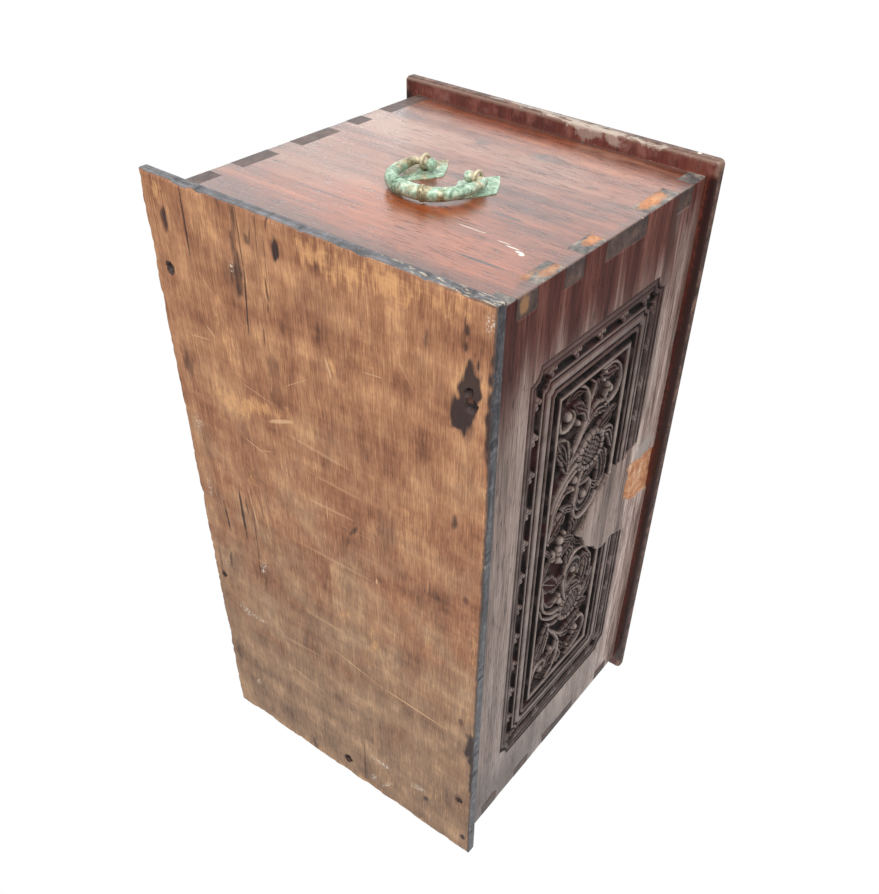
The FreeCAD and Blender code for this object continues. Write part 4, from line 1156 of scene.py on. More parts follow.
# %% [markdown]
# Wear along a board's arrises
# Hands and knocks rub the finish off where two faces meet. On a board with the corners low and
# high, the distance to the nearest arris is the middle one of the three distances to its faces,
# because on a face the smallest is zero. The wear could be stored on the mesh instead, but a
# flat board has points only at its corners, too few to hold it.

# %% Arris group
def arris_effect():
    """The middle one of the three distances to the nearer faces, from maxima and minima."""
    tree, given, out = new_group(
        "arris", [(key, "NodeSocketVector") for key in ("Vector", "Low", "High")], ("Distance",))
    at = given.outputs["Vector"]
    from_low = vector_sum(tree, "SUBTRACT", at, given.outputs["Low"])
    from_high = vector_sum(tree, "SUBTRACT", given.outputs["High"], at)
    dx, dy, dz = split(tree, vector_sum(tree, "MINIMUM", from_low, from_high))
    larger = sum_node(tree, "MAXIMUM", dx, dy)
    smaller = sum_node(tree, "MINIMUM", dx, dy)
    middle = sum_node(tree, "MAXIMUM", smaller, sum_node(tree, "MINIMUM", larger, dz))
    plug(tree, out, {"Distance": middle})
    print(tree.name, "puts out a distance in metres")
    return tree


arris_group = arris_effect()


# %% [markdown]
# Varnish on the carved front
# The varnish is still red beside the left corner. Hands have rubbed the rest grey, most of all
# near the lid, where the grey also carries painted light; right under the lid lies a strip of
# painted shade. Dirt and painted shade lie black in the hollows, and the crests carry painted
# highlights. The plain margins go by place, in metres. The carving goes by values that came
# with its mesh: how far a point stands out, and where the torn place is. A painted texture
# would do too, but it needs an unwrapped mesh.

# %% Plain margins of the front
def plain_margins(tree, at, grain):
    """Red wood turning grey along the board and up to the lid, with painted light on the grey near
    the lid, and darker strips laid over, one of them painted shade right under the lid.

    All places are in metres: x from the middle of the chest, z from the floor.
    """
    x, _, z = split(tree, at)
    band = noise(tree, stretch(tree, at, (3, 34, 34), shift=(0, 0, 3.3)), 1.0, 3.0, 0.6)
    mixed = weigh(tree, ((band, 0.8), (grain["Figure"], 0.7), (grain["Fibre"], 0.9)))
    red = tone_ramp(tree, mixed, ((0.2, (56, 29, 26)), (0.45, (86, 44, 38)), (0.6, (108, 62, 53)),
                                  (0.8, (134, 88, 76))))
    grey = tone_ramp(tree, mixed, ((0.25, (96, 80, 73)), (0.5, (146, 125, 116)),
                                   (0.75, (184, 164, 154))))
    painted_light_grey = tone_ramp(tree, mixed, ((0.3, (104, 80, 73)), (0.5, (188, 163, 153)),
                                     (0.68, (240, 224, 214))))
    # painted light makes the grey brighter near the lid; it is duller at the right end, most at the
    # foot
    grey = over_by(tree, ramp(tree, z, 0.225, 0.275), grey, painted_light_grey)
    dull = times(tree, ramp(tree, x, 0.2, 0.28), ramp(tree, z, 0.27, 0.06, 0.1, 0.85))
    grey = over_by(tree, dull, grey, shade(96, 82, 76))
    # where the red gives way to the grey
    drift = centred(tree, band, 0.16)
    along = ramp(tree, plus(tree, x, drift), -0.262, -0.175)
    up = times(tree, ramp(tree, plus(tree, z, drift), 0.262, 0.292, 0.0, 0.8),
               ramp(tree, x, -0.3, -0.19))
    wood = over_by(tree, sum_node(tree, "MAXIMUM", along, up), red, grey)
    wood = over_by(tree, times(tree, grain["Pores"], 0.7), wood, shade(36, 22, 20))
    # pale smears under the lid on the left, and painted shade: a dark red strip right against the
    # lid, where its overhang shades the board
    smear = noise(tree, stretch(tree, at, (9, 60, 60), shift=(1, 0, 0)), 1.0, 4.0, 0.65)
    above = times(tree, ramp(tree, z, 0.262, 0.275), ramp(tree, x, 0.06, -0.06))
    wood = over_by(tree, times(tree, times(tree, ramp(tree, smear, 0.5, 0.68), above), 0.55),
                   wood, shade(176, 164, 156))
    far = ramp(tree, size_of(tree, x), 0.03, 0.2)
    # painted shade under the lid's overhang, fading out towards the middle
    wood = over_by(tree, times(tree, times(tree, ramp(tree, z, 0.299, 0.306), far), 0.5), wood,
                   shade(86, 52, 44))
    # a dark ledge just above the panel, and a darker strip along the foot
    ledge = times(tree, ramp(tree, z, 0.281, 0.269), ramp(tree, z, 0.255, 0.262))
    ledge = times(tree, ledge, times(tree, ramp(tree, far, 0.1, 0.3),
                                     ramp(tree, x, 0.25, -0.15, 0.25, 0.6)))
    wood = over_by(tree, ledge, wood, shade(78, 56, 50))
    foot = times(tree, ramp(tree, z, 0.04, 0.022), ramp(tree, x, -0.08, 0.05))
    return over_by(tree, times(tree, foot, 0.28), wood, shade(88, 62, 48))


# %% Carving and the tails' ends
# bare orange wood on the tails' ends: place, size, raggedness, strength
RAW_ENDS = (((-300, -145, 238), (9, 7, 26), 3.0, 1.0), ((-300, -146, 148), (9, 6, 14), 3.4, 0.9),
            ((-300, -149, 86), (9, 5, 16), 3.6, 0.6), ((-300, -141, 66), (9, 4, 12), 3.6, 0.6))


def worn_carving(tree, at, grain, patchy):
    """Brown carving, grey where it stands out, with wear and painted highlights, on a ground black
    with grime and painted shade; and how sunk each place is.
    """
    x, _, z = split(tree, at)
    tone = value_of(tree, "tone")
    mixed = weigh(tree, ((patchy, 1.2), (grain["Fibre"], 0.5)))
    carved = tone_ramp(tree, mixed, ((0.25, (56, 41, 38)), (0.5, (82, 66, 61)),
                                     (0.75, (112, 95, 89))))
    # the left end keeps more of its red varnish, also where it is rubbed
    left = ramp(tree, x, -0.14, -0.22)
    carved = over_by(tree, times(tree, left, 0.6), carved, shade(86, 50, 44))
    # grey where the tone is above 0: rubbed wear with painted highlights
    bared = tone_ramp(tree, mixed, ((0.25, (128, 110, 103)), (0.75, (172, 156, 148))))
    carved = over_by(tree, ramp(tree, tone, 0.0, 1.0), carved, bared)
    carved = over_by(tree, times(tree, left, 0.32), carved, shade(76, 46, 42))
    # both far parts of the panel are darker, on the left only its top
    dim = sum_node(tree, "MAXIMUM", ramp(tree, x, 0.13, 0.21, 0.0, 0.34), times(
        tree, ramp(tree, x, -0.1, -0.18, 0.0, 0.5), ramp(tree, z, 0.16, 0.26)))
    carved = over_by(tree, dim, carved, shade(50, 38, 36))
    # the ground: black with grime and painted shade, red in places, with dust
    ground = over_by(tree, ramp(tree, noise(tree, at, 30.0, 3.0), 0.52, 0.66),
                     shade(17, 12, 12), shade(52, 21, 20))
    dusty = ramp(tree, noise(tree, stretch(tree, at, (60, 60, 60), shift=(2, 0, 0)), 1.0, 3.0),
                 0.5, 0.64)
    ground = over_by(tree, times(tree, dusty, 0.7), ground, shade(72, 61, 59))
    # how much of the ground's grime and painted shade covers each place, by its tone
    sunk = times(tree, ramp(tree, tone, 0.0, -0.65), 0.97)
    return over_by(tree, sunk, carved, ground), sunk


def tail_ends(tree, at):
    """Dark end grain on the dovetail tails, broken to bare orange wood in places."""
    dark = tone_ramp(tree, weigh(tree, ((noise(tree, at, 90.0, 4.0, 0.7), 1.6),)),
                     ((0.25, (58, 56, 58)), (0.5, (106, 102, 98)), (0.8, (164, 152, 138))))
    rough_edge = noise(tree, at, 120.0, 5.0, 0.75)
    raw = tone_ramp(tree, rough_edge, ((0.3, (96, 66, 48)), (0.5, (198, 128, 76)),
                                       (0.7, (222, 168, 116))))
    return over_by(tree, spots(tree, at, rough_edge, RAW_ENDS), dark, raw)


# %% The front's material
def carved_front():
    """The margins, the carving laid over them, the torn and bleached places, and the tails."""
    material, tree, surface, coords = new_material("front_varnish")
    at = coords.outputs["Object"]
    grain = group_node(tree, grain_group, {"Vector": at})
    patchy = noise(tree, at, 55.0, 4.0, 0.6)
    carving, torn = value_of(tree, "carved"), value_of(tree, "torn")
    carved, sunk = worn_carving(tree, at, grain, patchy)
    colour = over_by(tree, carving, plain_margins(tree, at, grain), carved)
    raw = tone_ramp(tree, weigh(tree, ((noise(tree, at, 85.0, 5.0, 0.7), 1.6),)),
                    ((0.25, (160, 100, 70)), (0.5, (204, 146, 108)), (0.8, (228, 198, 170))))
    colour = over_by(tree, torn, colour, raw)
    bleached = times(tree, value_of(tree, "bleached"), 0.75)
    colour = over_by(tree, bleached, colour, shade(176, 166, 158))
    facing_out = size_of(tree, split(tree, coords.outputs["Normal"])[0])
    out = size_of(tree, split(tree, at)[0])
    last_mm = ((HALF_LENGTH - 2) * MM, (HALF_LENGTH - 1) * MM)
    ends = times(tree, ramp(tree, facing_out, 0.5, 0.8), ramp(tree, out, *last_mm))
    colour = over_by(tree, ends, colour, tail_ends(tree, at))
    surface.inputs["Specular IOR Level"].default_value = 0.22
    rough = ramp(tree, grain["Cloud"], 0.3, 0.7, 0.27, 0.4)
    rough = plus(tree, rough, times(tree, carving, 0.1))
    rough = plus(tree, rough, times(tree, times(tree, sunk, carving), 0.4))
    rough = sum_node(tree, "ADD", rough, times(tree, torn, 0.4), clamp=True)
    fine = sum_node(tree, "SUBTRACT", weigh(tree, ((grain["Fibre"], 0.6), (patchy, 1.0))),
                    grain["Pores"])
    return finish_with(material, tree, surface, colour, rough, fine, 0.0007, 0.4)


front_wood = carved_front()
for piece in (surround, field):
    piece.data.materials.append(front_wood)

# %% [markdown]
# Varnish on the ends, back and lid
# These boards keep their model's own mesh, so all their finish is in the material: grain that
# runs along the board, grime gathered near the arrises, darker on the lid, where it is partly
# painted shade under the overhang, and end grain wherever a face looks along the grain. The
# left end also has marks placed one by one: pale patches of painted sheen, the room reflected
# in its varnish, knots, dark streaks, drips of paint, a warm glow low down, and a pin at its
# foot that is bare. New meshes would gain nothing here, because the boards are flat and their
# wear is only in the finish.

# %% Marks on the left end
# place, size each way in millimetres, raggedness, strength
KNOTS = (((-300, 28, 251), (9, 9, 6.5), 0.6, 0.5), ((-300, -35, 258), (9, 18, 11), 0.9, 0.5),
         ((-300, -30, 259), (9, 5, 9), 0.6, 0.8), ((-300, 28, 250), (9, 4, 6), 0.5, 0.7))
STREAKS = (((-300, 80, 187), (9, 26, 1.5), 0.8, 0.6), ((-300, 60, 178), (9, 16, 1.3), 0.6, 0.5),
           ((-300, 48, 82), (9, 46, 1.1), 0.8, 0.8), ((-300, -106, 65), (9, 27, 1.8), 1.0, 0.95),
           ((-300, -76, 138), (9, 20, 2.6), 1.2, 0.8), ((-300, 118, 205), (9, 12, 1.2), 0.8, 0.5),
           ((-300, -80, 210), (9, 26, 1.3), 1.0, 0.5), ((-300, 20, 150), (9, 30, 1.2), 1.0, 0.4),
           ((-300, 0, 14), (9, 190, 38), 0.8, 0.7), ((-300, 110, 120), (9, 60, 60), 0.8, 0.12),
           ((-300, -148, 70), (9, 7, 24), 1.4, 0.55))
WARM = (((-300, -30, 72), (9, 150, 66), 0.8, 0.22),)
DRIPS = (((-300, -70, 104), (9, 13, 1.1), 3.4, 0.4), ((-300, -101, 100), (9, 7, 0.8), 0.5, 0.6),
         ((-300, -110, 97), (9, 7, 1.0), 0.4, 0.8), ((-300, -118, 94), (9, 4, 1.5), 0.3, 1.0),
         ((-300, -121, 92), (9, 2.6, 2.2), 0.3, 1.0))
RAW_PIN = (((-292, -155, 46), (8, 9, 6), 1.4, 0.85),)
# pale patches of painted sheen, the room reflected in the varnish
SHEEN_SPOTS = (((-300, 20, 215), (9, 150, 60), 0.8, 0.6), ((-300, 90, 150), (9, 80, 90), 0.8, 0.5),
        ((-300, 125, 250), (9, 60, 60), 1.4, 0.8), ((-300, -110, 303), (9, 80, 17), 1.0, 0.9))
END_MARKS = (SHEEN_SPOTS, KNOTS, STREAKS, DRIPS, RAW_PIN, WARM)
print("marks on the left end:", sum(len(places) for places in END_MARKS))

# %% The lid's overhang
TONE_PLACES = (0.22, 0.45, 0.62, 0.82)
END_TONE_PLACES = (0.25, 0.5, 0.8)
NO_MARKS = ((),) * 6
GLOSS = (0.2, 0.32)
OVERHANG = (0.298, 0.304)  # where the lid passes the walls' ends, as a distance from x = 0


def lid_overhang(tree, at, near, ragged, colour):
    """Past the walls' ends: darker, with pale patches and a brownish strip along the rim."""
    beyond = ramp(tree, size_of(tree, split(tree, at)[0]), *OVERHANG)
    colour = over_by(tree, times(tree, beyond, 0.4), colour, shade(58, 30, 28))
    patch = noise(tree, stretch(tree, at, (40, 60, 40), shift=(5, 0, 0)), 1.0, 4.0, 0.6)
    colour = over_by(tree, times(tree, beyond, ramp(tree, patch, 0.45, 0.66, 0.0, 0.65)),
                     colour, shade(150, 100, 88))
    rim = plus(tree, near, sum_node(tree, "MULTIPLY", ragged, 0.004))
    outer = times(tree, ramp(tree, rim, 0.007, 0.0045), beyond)
    return over_by(tree, times(tree, outer, 0.75), colour, shade(136, 108, 92)), beyond


# %% Recipe of a varnished board
def varnished_board(name, grain_along, tones, corners, marks=NO_MARKS, edges=False,
                    grime_and_shade=(0.5, (74, 62, 58), 0.01, 0.002),
                    end_tones=((40, 32, 31), (68, 54, 50), (104, 84, 74))):
    """Varnished hardwood: figure, fibre, pores, grime at the arrises and bare ends.

    The marks are six lists of spots: painted sheen, knots, streaks, drips, raw wood and warm
    glow. The grime, which on the lid also stands for painted shade under its overhang, is given
    as strength, colour, and the distances from the arris where it starts and is full. With
    edges, the faces along the grain are bare and dark as well as those across it, and the part
    past the walls' ends is finished as the lid's overhang.
    """
    material, tree, surface, coords = new_material(name)
    at = coords.outputs["Object"]
    along_y = grain_along == "y"
    vector = stretch(tree, at, (1, 1, 1), (0, 0, math.pi / 2 if along_y else 0))
    grain = group_node(tree, grain_group, {"Vector": vector})
    broad = noise(tree, stretch(tree, vector, (4, 26, 26)), 1.0, 4.0, 0.6)
    mixed = weigh(tree, ((grain["Figure"], 1.2), (broad, 0.9), (grain["Fibre"], 0.8),
                         (grain["Cloud"], 0.5)))
    colour = tone_ramp(tree, mixed, tuple(zip(TONE_PLACES, tones)))
    # marks placed one by one
    wobble = noise(tree, stretch(tree, vector, (50, 60, 420) if edges else (50, 170, 170)),
                   1.0, 4.0, 0.7)
    painted_sheen, knots, streaks, drips, raw, warm = (spots(tree, at, wobble, places)
                                              for places in marks)
    # painted sheen: the room's reflection in the varnish, laid in as a pale colour over the grain
    sheen_pattern = ramp(tree, weigh(tree, ((broad, 1.0), (grain["Figure"], 1.0))), 0.3, 0.7)
    colour = over_by(tree, times(tree, sheen_pattern, painted_sheen), colour, shade(160, 122, 102))
    colour = over_by(tree, warm, colour, shade(190, 98, 50))
    colour = over_by(tree, times(tree, grain["Pores"], 0.85), colour, shade(48, 24, 20))
    colour = over_by(tree, knots, colour, shade(52, 38, 34))
    colour = over_by(tree, streaks, colour, shade(46, 24, 20))
    # grime near the arrises; on the lid, darker, it also stands for painted shade under the
    # overhang
    near = group_node(tree, arris_group, {"Vector": at, "Low": corners[0],
                                          "High": corners[1]})["Distance"]
    ragged = noise(tree, at, 140.0, 4.0, 0.7)
    shaken = plus(tree, near, centred(tree, ragged, 0.01))
    strength, grime_and_shade_tone, outermost, full = grime_and_shade
    grimy = times(tree, ramp(tree, shaken, outermost, full), strength)
    if edges:
        colour, beyond = lid_overhang(tree, at, near, ragged, colour)
        grimy = times(tree, grimy, sum_node(tree, "SUBTRACT", 1.0, beyond))
    colour = over_by(tree, grimy, colour, shade(*grime_and_shade_tone))
    # end grain, and a pale line where the arris itself is bare
    normal = split(tree, coords.outputs["Normal"])
    facing = size_of(tree, normal[1 if along_y else 0])
    if edges:
        facing = sum_node(tree, "MAXIMUM", facing, size_of(tree, normal[1]))
    ends = ramp(tree, facing, 0.6, 0.85)
    end_grain = tone_ramp(tree, weigh(tree, ((noise(tree, at, 80.0, 5.0, 0.75), 1.8),)),
                          tuple(zip(END_TONE_PLACES, end_tones)))
    end_grain = over_by(tree, raw, end_grain, shade(160, 118, 76))
    colour = over_by(tree, times(tree, ends, 0.92), colour, end_grain)
    bare_line = times(tree, ramp(tree, shaken, -0.0003, -0.0012), 0.8)
    colour = over_by(tree, bare_line, colour, shade(196, 168, 142))
    colour = over_by(tree, drips, colour, shade(240, 228, 212))
    # the varnish itself, missing on the end grain
    rough = ramp(tree, grain["Cloud"], 0.3, 0.7, *GLOSS)
    rough = plus(tree, rough, times(tree, ends, 0.25))
    plug(tree, surface, {"Coat Weight": ramp(tree, ends, 0.0, 1.0, 0.55, 0.0),
                         "Coat Roughness": 0.24, "Specular IOR Level": 0.25 if edges else 0.5})
    fine = sum_node(tree, "SUBTRACT", weigh(tree, ((grain["Fibre"], 0.7), (broad, 1.0))),
                    grain["Pores"])
    return finish_with(material, tree, surface, colour, rough, fine, 0.0006, 0.4)


def corners_of(*names):
    """The lowest and highest corners of several nodes together."""
    boxes = [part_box(name) for name in names]
    return (np.min([b[0] for b in boxes], 0).tolist(), np.max([b[1] for b in boxes], 0).tolist())


def dress(node_name, material):
    """Give a node's mesh one material."""
    materials = nodes[node_name].data.materials
    materials.clear()
    materials.append(material)


# %% The walls and the lid
RED_TONES = ((72, 30, 15), (112, 54, 28), (138, 72, 42), (166, 100, 65))
walls = corners_of("front_board", "back_board", "left_end_board", "right_end_board")
dress("left_end_board", varnished_board("left_end_varnish", "y", RED_TONES, walls, END_MARKS))
dress("right_end_board", varnished_board("right_end_varnish", "y", RED_TONES, walls))
dress("back_board", varnished_board("back_varnish", "x", RED_TONES, walls))
LID_TONES = ((84, 34, 27), (108, 46, 35), (128, 58, 44), (150, 80, 62))
# scuffs on the arrises of the lid's left end
LID_SCUFFS = (((-314, -50, 315), (4.5, 62, 3), 4.4, 0.5), ((-315, 0, 319), (4, 66, 2.6), 4.2, 0.4),
              ((-308, -38, 314), (8, 9, 3), 3.8, 0.26), ((-309, -62, 314), (6, 22, 3), 4.6, 0.3),
              ((-315, -143, 320), (3, 2.4, 2.2), 0.6, 1), ((-315, 60, 325), (3, 96, 1.2), 4.0, 0.5),
              ((-315, -110, 325), (3, 56, 1.2), 4.0, 0.5), ((-315, -80, 311), (3, 26, 1.6), 4, 0.4))
lid_nodes = ("lid_panel", "lid_front_rail", "lid_back_rail")
# the lid's dark grime near its arrises is partly painted shade under its overhang
lid_wood = varnished_board("lid_varnish", "x", LID_TONES, corners_of(*lid_nodes),
                           ((), (), (), LID_SCUFFS, (), ()), edges=True,
                           grime_and_shade=(0.93, (44, 28, 27), 0.015, 0.005),
                           end_tones=((52, 38, 34), (88, 66, 58), (136, 106, 92)))
for name in lid_nodes:
    dress(name, lid_wood)


# %% [markdown]
# Bare wood of the bottom
# Dry wood has no shine, so all its life is in the colour: clouds, blotches and hairs of brown,
# warmer towards the left end. The marks on the mesh's points are laid over it, each broken up
# by fine noise so that its edge isn't a clean ellipse, and then the strokes. Last comes the
# grime of the rim and the blue-grey of the board's edges. Noise alone would give a board of the
# right kind, but not this one, whose stains sit where its nails rusted.

# %% Noise and brown tones of the bare board
def board_noise(tree, at):
    """Noise at each scale of the board, from clouds to hairs, all centred on 0.5."""
    return {
        "cloud": noise(tree, at, 17.0, 5.0, 0.62),
        "mottle": noise(tree, at, 75.0, 4.0, 0.62),
        "band": noise(tree, stretch(tree, at, (5, 60, 60)), 1.0, 4.0, 0.62),
        "line": noise(tree, stretch(tree, at, (20, 380, 380)), 1.0, 4.0, 0.7),
        "hair": noise(tree, stretch(tree, at, (60, 1000, 1000)), 1.0, 3.0, 0.65),
        "across": noise(tree, stretch(tree, at, (34, 5, 34), (0, 0, 0.04)), 1.0, 4.0, 0.6),
        "blotch": noise(tree, stretch(tree, at, (22, 60, 60), (0, 0, 0.3)), 1.0, 6.0, 0.7),
        "scrub": noise(tree, stretch(tree, at, (460, 55, 55), (0, 0, 0.2)), 1.0, 4.0, 0.7),
        "scuffed": noise(tree, at, 130.0, 4.0, 0.7),
    }


def mix_of(tree, layers, **weights):
    """Some of the board's noises, weighed."""
    return weigh(tree, [(layers[key], weight) for key, weight in weights.items()])


def dry_wood(tree, at, layers):
    """Warm brown at the left end passing into cool brown at the right, with dark pores."""
    mixed = mix_of(tree, layers, cloud=1.0, blotch=0.55, mottle=0.22, band=0.45, line=0.4,
                   hair=0.75, across=0.6)
    warm = tone_ramp(tree, mixed, ((0.12, (92, 56, 36)), (0.38, (158, 103, 70)),
                                   (0.58, (186, 132, 94)), (0.78, (220, 164, 116))))
    cool = tone_ramp(tree, mixed, ((0.12, (92, 67, 48)), (0.38, (141, 110, 85)),
                                   (0.58, (165, 129, 99)), (0.78, (198, 158, 122))))
    place = plus(tree, split(tree, at)[0], centred(tree, layers["cloud"], 0.9))
    colour = over_by(tree, ramp(tree, place, 0.24, -0.16), cool, warm)
    pores = ramp(tree, noise(tree, stretch(tree, at, (100, 1100, 1100)), 1.0, 3.0, 0.6),
                 0.56, 0.68)
    return over_by(tree, times(tree, pores, 0.36), colour, shade(84, 54, 38))


# %% Scuffs, stains and edges
# direction of each set of fine nicks, in radians, and its strength
NICKS = ((1.25, 0.5), (1.9, 0.45), (0.3, 0.3))


def scuffed_wood(tree, at, layers, colour):
    """Dark smudges, three sets of pale nicks, and the scuffs that the mesh's points carry."""
    smudge = ramp(tree, noise(tree, stretch(tree, at, (11, 18, 18), shift=(3, 0, 0)), 1.0, 6.0,
                              0.75), 0.5, 0.74)
    colour = over_by(tree, times(tree, smudge, 0.36), colour, shade(104, 82, 66))
    for turn, share in NICKS:
        nick = noise(tree, stretch(tree, at, (34, 620, 620), (0, 0, turn)), 1.0, 2.0, 0.5)
        gathered = ramp(tree, noise(tree, stretch(tree, at, (30, 30, 30), shift=(turn, 0, 0)), 1.0,
                                    3.0), 0.42, 0.62)
        nick = times(tree, times(tree, ramp(tree, nick, 0.64, 0.74), gathered), share)
        colour = over_by(tree, nick, colour, shade(232, 184, 136))
    pale = value_of(tree, "pale")
    scrubbed = mix_of(tree, layers, scrub=0.4, blotch=0.8, hair=0.6, mottle=0.6)
    bared = times(tree, ramp(tree, plus(tree, pale, centred(tree, scrubbed, 2.4)), 0.2, 1.2),
                  ramp(tree, pale, 0.02, 0.3))
    return over_by(tree, times(tree, bared, 0.75), colour, shade(234, 176, 118))


def stained_wood(tree, at, layers, scratched, gouged, colour):
    """Scratches, rust, stains, gouges and flecks of paint, each laid over the last."""
    colour = over_by(tree, times(tree, scratched, 0.75), colour, shade(240, 196, 150))
    colour = over_by(tree, times(tree, value_of(tree, "rust"), 0.8), colour, shade(84, 46, 42))
    stained = value_of(tree, "stain")
    shake = centred(tree, layers["line"], 0.9)
    soaked = times(tree, ramp(tree, plus(tree, stained, shake), 0.05, 0.66),
                   ramp(tree, stained, 0.02, 0.2))
    colour = over_by(tree, times(tree, soaked, 0.94), colour, shade(36, 20, 23))
    colour = over_by(tree, times(tree, gouged, 0.9), colour, shade(44, 26, 20))
    crackled = ramp(tree, noise(tree, at, 420.0, 4.0, 0.7), 0.5, 0.6)
    flecks = times(tree, value_of(tree, "speck"), crackled)
    return over_by(tree, flecks, colour, shade(246, 234, 216))


def board_edges(tree, at, layers):
    """Blue-grey grime on the board's edges, with pale chips, more of them at one corner."""
    x, y, _ = split(tree, at)
    edge_line = noise(tree, stretch(tree, at, (12, 12, 260)), 1.0, 3.0, 0.6)
    edge = tone_ramp(tree, weigh(tree, ((layers["scuffed"], 1.3), (edge_line, 1.0))),
                     ((0.2, (34, 32, 36)), (0.5, (64, 63, 68)), (0.8, (110, 110, 114))))
    corner = times(tree, ramp(tree, x, -0.309, -0.3125), ramp(tree, y, 0.02, -0.16))
    broken = noise(tree, stretch(tree, at, (90, 90, 420)), 1.0, 5.0, 0.7)
    chips = ramp(tree, plus(tree, broken, times(tree, corner, 0.1)), 0.63, 0.7)
    return over_by(tree, times(tree, chips, 0.8), edge, shade(206, 190, 164))


# %% The bottom's material
def bare_bottom():
    """Dry brown wood with its stains, scuffs and scratches, and blue-grey grime at the rim."""
    material, tree, surface, coords = new_material("bare_bottom")
    at = coords.outputs["Object"]
    layers = board_noise(tree, at)
    placed = stretch(tree, at, (1, 1, 1), shift=(0, -MIDDLE_Y, 0))
    scratched = strokes(tree, placed, layers["scuffed"], SCRATCHES)
    gouged = strokes(tree, placed, layers["scuffed"], GOUGES)
    colour = scuffed_wood(tree, at, layers, dry_wood(tree, at, layers))
    colour = stained_wood(tree, at, layers, scratched, gouged, colour)
    rim = plus(tree, value_of(tree, "rim"), times(tree, layers["scuffed"], 0.8))
    front_side = ramp(tree, split(tree, at)[1], -0.1, -0.15)
    grimy = times(tree, ramp(tree, rim, 0.9, 1.4),
                  plus(tree, times(tree, front_side, 0.5), 0.3))
    colour = over_by(tree, grimy, colour, shade(70, 60, 56))
    side_face = ramp(tree, split(tree, coords.outputs["Normal"])[2], -0.75, -0.35)
    colour = over_by(tree, side_face, colour, board_edges(tree, at, layers))
    rough = ramp(tree, side_face, 0, 1, 0.6, 0.38)
    height = weigh(tree, ((layers["line"], -0.8), (layers["hair"], 0.5),
                          (layers["mottle"], 0.4), (gouged, -2.0)))
    return finish_with(material, tree, surface, colour, rough, height, 0.0009, 0.5)


worn_bottom.data.materials.append(bare_bottom())


# %% [markdown]
# Bronze, brass and iron
# Green verdigris grows where nobody touches the bronze. Hands keep the bails' grip banded with
# brown, and the eyes they hang in are rubbed almost bare. The hinges are brass gone brown, and
# the nails are rusty iron. One recipe serves both kinds of bronze, with the level of noise
# above which the metal is bared as its one setting.

# %% Bronze of the handles
# place, size each way in millimetres, raggedness, strength
BAIL_BANDS = (((-325, 27, 128), (60, 3, 30), 0.6, 0.9), ((-325, 5, 118), (60, 3.5, 30), 0.6, 0.9),
              ((-325, -17, 125), (60, 7, 30), 1.4, 1.0), ((-325, -29, 130), (60, 4, 30), 1.0, 0.8))
# the bails' ball ends, worn pale
BALLS = (((-311, 25.5, 166), (9, 9, 9), 0.5, 0.75), ((-311, -30, 166), (9, 9, 9), 0.5, 0.75))

BRONZE_EDGE = 0.14         # over how much of the noise the green passes into brown


def bronze(name, bared):
    """Cast bronze under pale green verdigris, brown where the noise is above bared."""
    material, tree, surface, coords = new_material(name)
    at = coords.outputs["Object"]
    cloud = noise(tree, at, 62.0, 3.0, 0.5)
    fine = noise(tree, at, 330.0, 4.0, 0.65)
    tone = weigh(tree, ((fine, 1.1), (cloud, 0.5)))
    green = tone_ramp(tree, tone, ((0.25, (92, 116, 94)), (0.5, (158, 186, 162)),
                                   (0.75, (222, 234, 212))))
    tan = tone_ramp(tree, tone, ((0.25, (70, 56, 36)), (0.5, (142, 122, 86)),
                                 (0.75, (216, 200, 166))))
    _, y, z = split(tree, at)
    back_arm = times(tree, ramp(tree, y, 0.01, 0.03), ramp(tree, z, 0.135, 0.155))
    banded = times(tree, spots(tree, at, cloud, BAIL_BANDS), 0.21)
    worn = sum_node(tree, "MAXIMUM", times(tree, back_arm, 0.24), banded)
    brown = ramp(tree, plus(tree, cloud, worn), bared, bared + BRONZE_EDGE, 0.0, 0.85)
    colour = over_by(tree, brown, green, tan)
    colour = over_by(tree, spots(tree, at, cloud, BALLS), colour, shade(206, 192, 162))
    pit = ramp(tree, noise(tree, at, 240.0, 3.0), 0.64, 0.74)
    colour = over_by(tree, times(tree, pit, 0.7), colour, shade(50, 44, 34))
    rough = ramp(tree, cloud, 0.4, 0.6, 0.5, 0.36)
    surface.inputs["Metallic"].default_value = 0.3
    return finish_with(material, tree, surface, colour, rough, plus(tree, fine, cloud),
                       0.0009, 0.6)


# %% Brass and iron, and what is made of each metal
def brass():
    """Brass sheet gone brown, brighter in cloudy patches of old polish, with dark spots."""
    material, tree, surface, coords = new_material("aged_brass")
    at = coords.outputs["Object"]
    cloud = noise(tree, at, 90.0, 5.0, 0.6)
    colour = over_by(tree, ramp(tree, cloud, 0.35, 0.65), shade(112, 84, 46), shade(168, 136, 82))
    spot = ramp(tree, noise(tree, at, 300.0, 3.0), 0.58, 0.7)
    colour = over_by(tree, times(tree, spot, 0.7), colour, shade(60, 46, 30))
    surface.inputs["Metallic"].default_value = 0.85
    return finish_with(material, tree, surface, colour, ramp(tree, cloud, 0.3, 0.7, 0.3, 0.5),
                       cloud, 0.0005, 0.4)


def iron():
    """Old iron with brown rust."""
    material, tree, surface, coords = new_material("old_iron")
    at = coords.outputs["Object"]
    cloud = noise(tree, at, 260.0, 4.0, 0.65)
    colour = over_by(tree, ramp(tree, cloud, 0.4, 0.6), shade(46, 36, 34), shade(96, 60, 44))
    surface.inputs["Metallic"].default_value = 0.3
    return finish_with(material, tree, surface, colour, 0.7, cloud, 0.0006, 0.6)


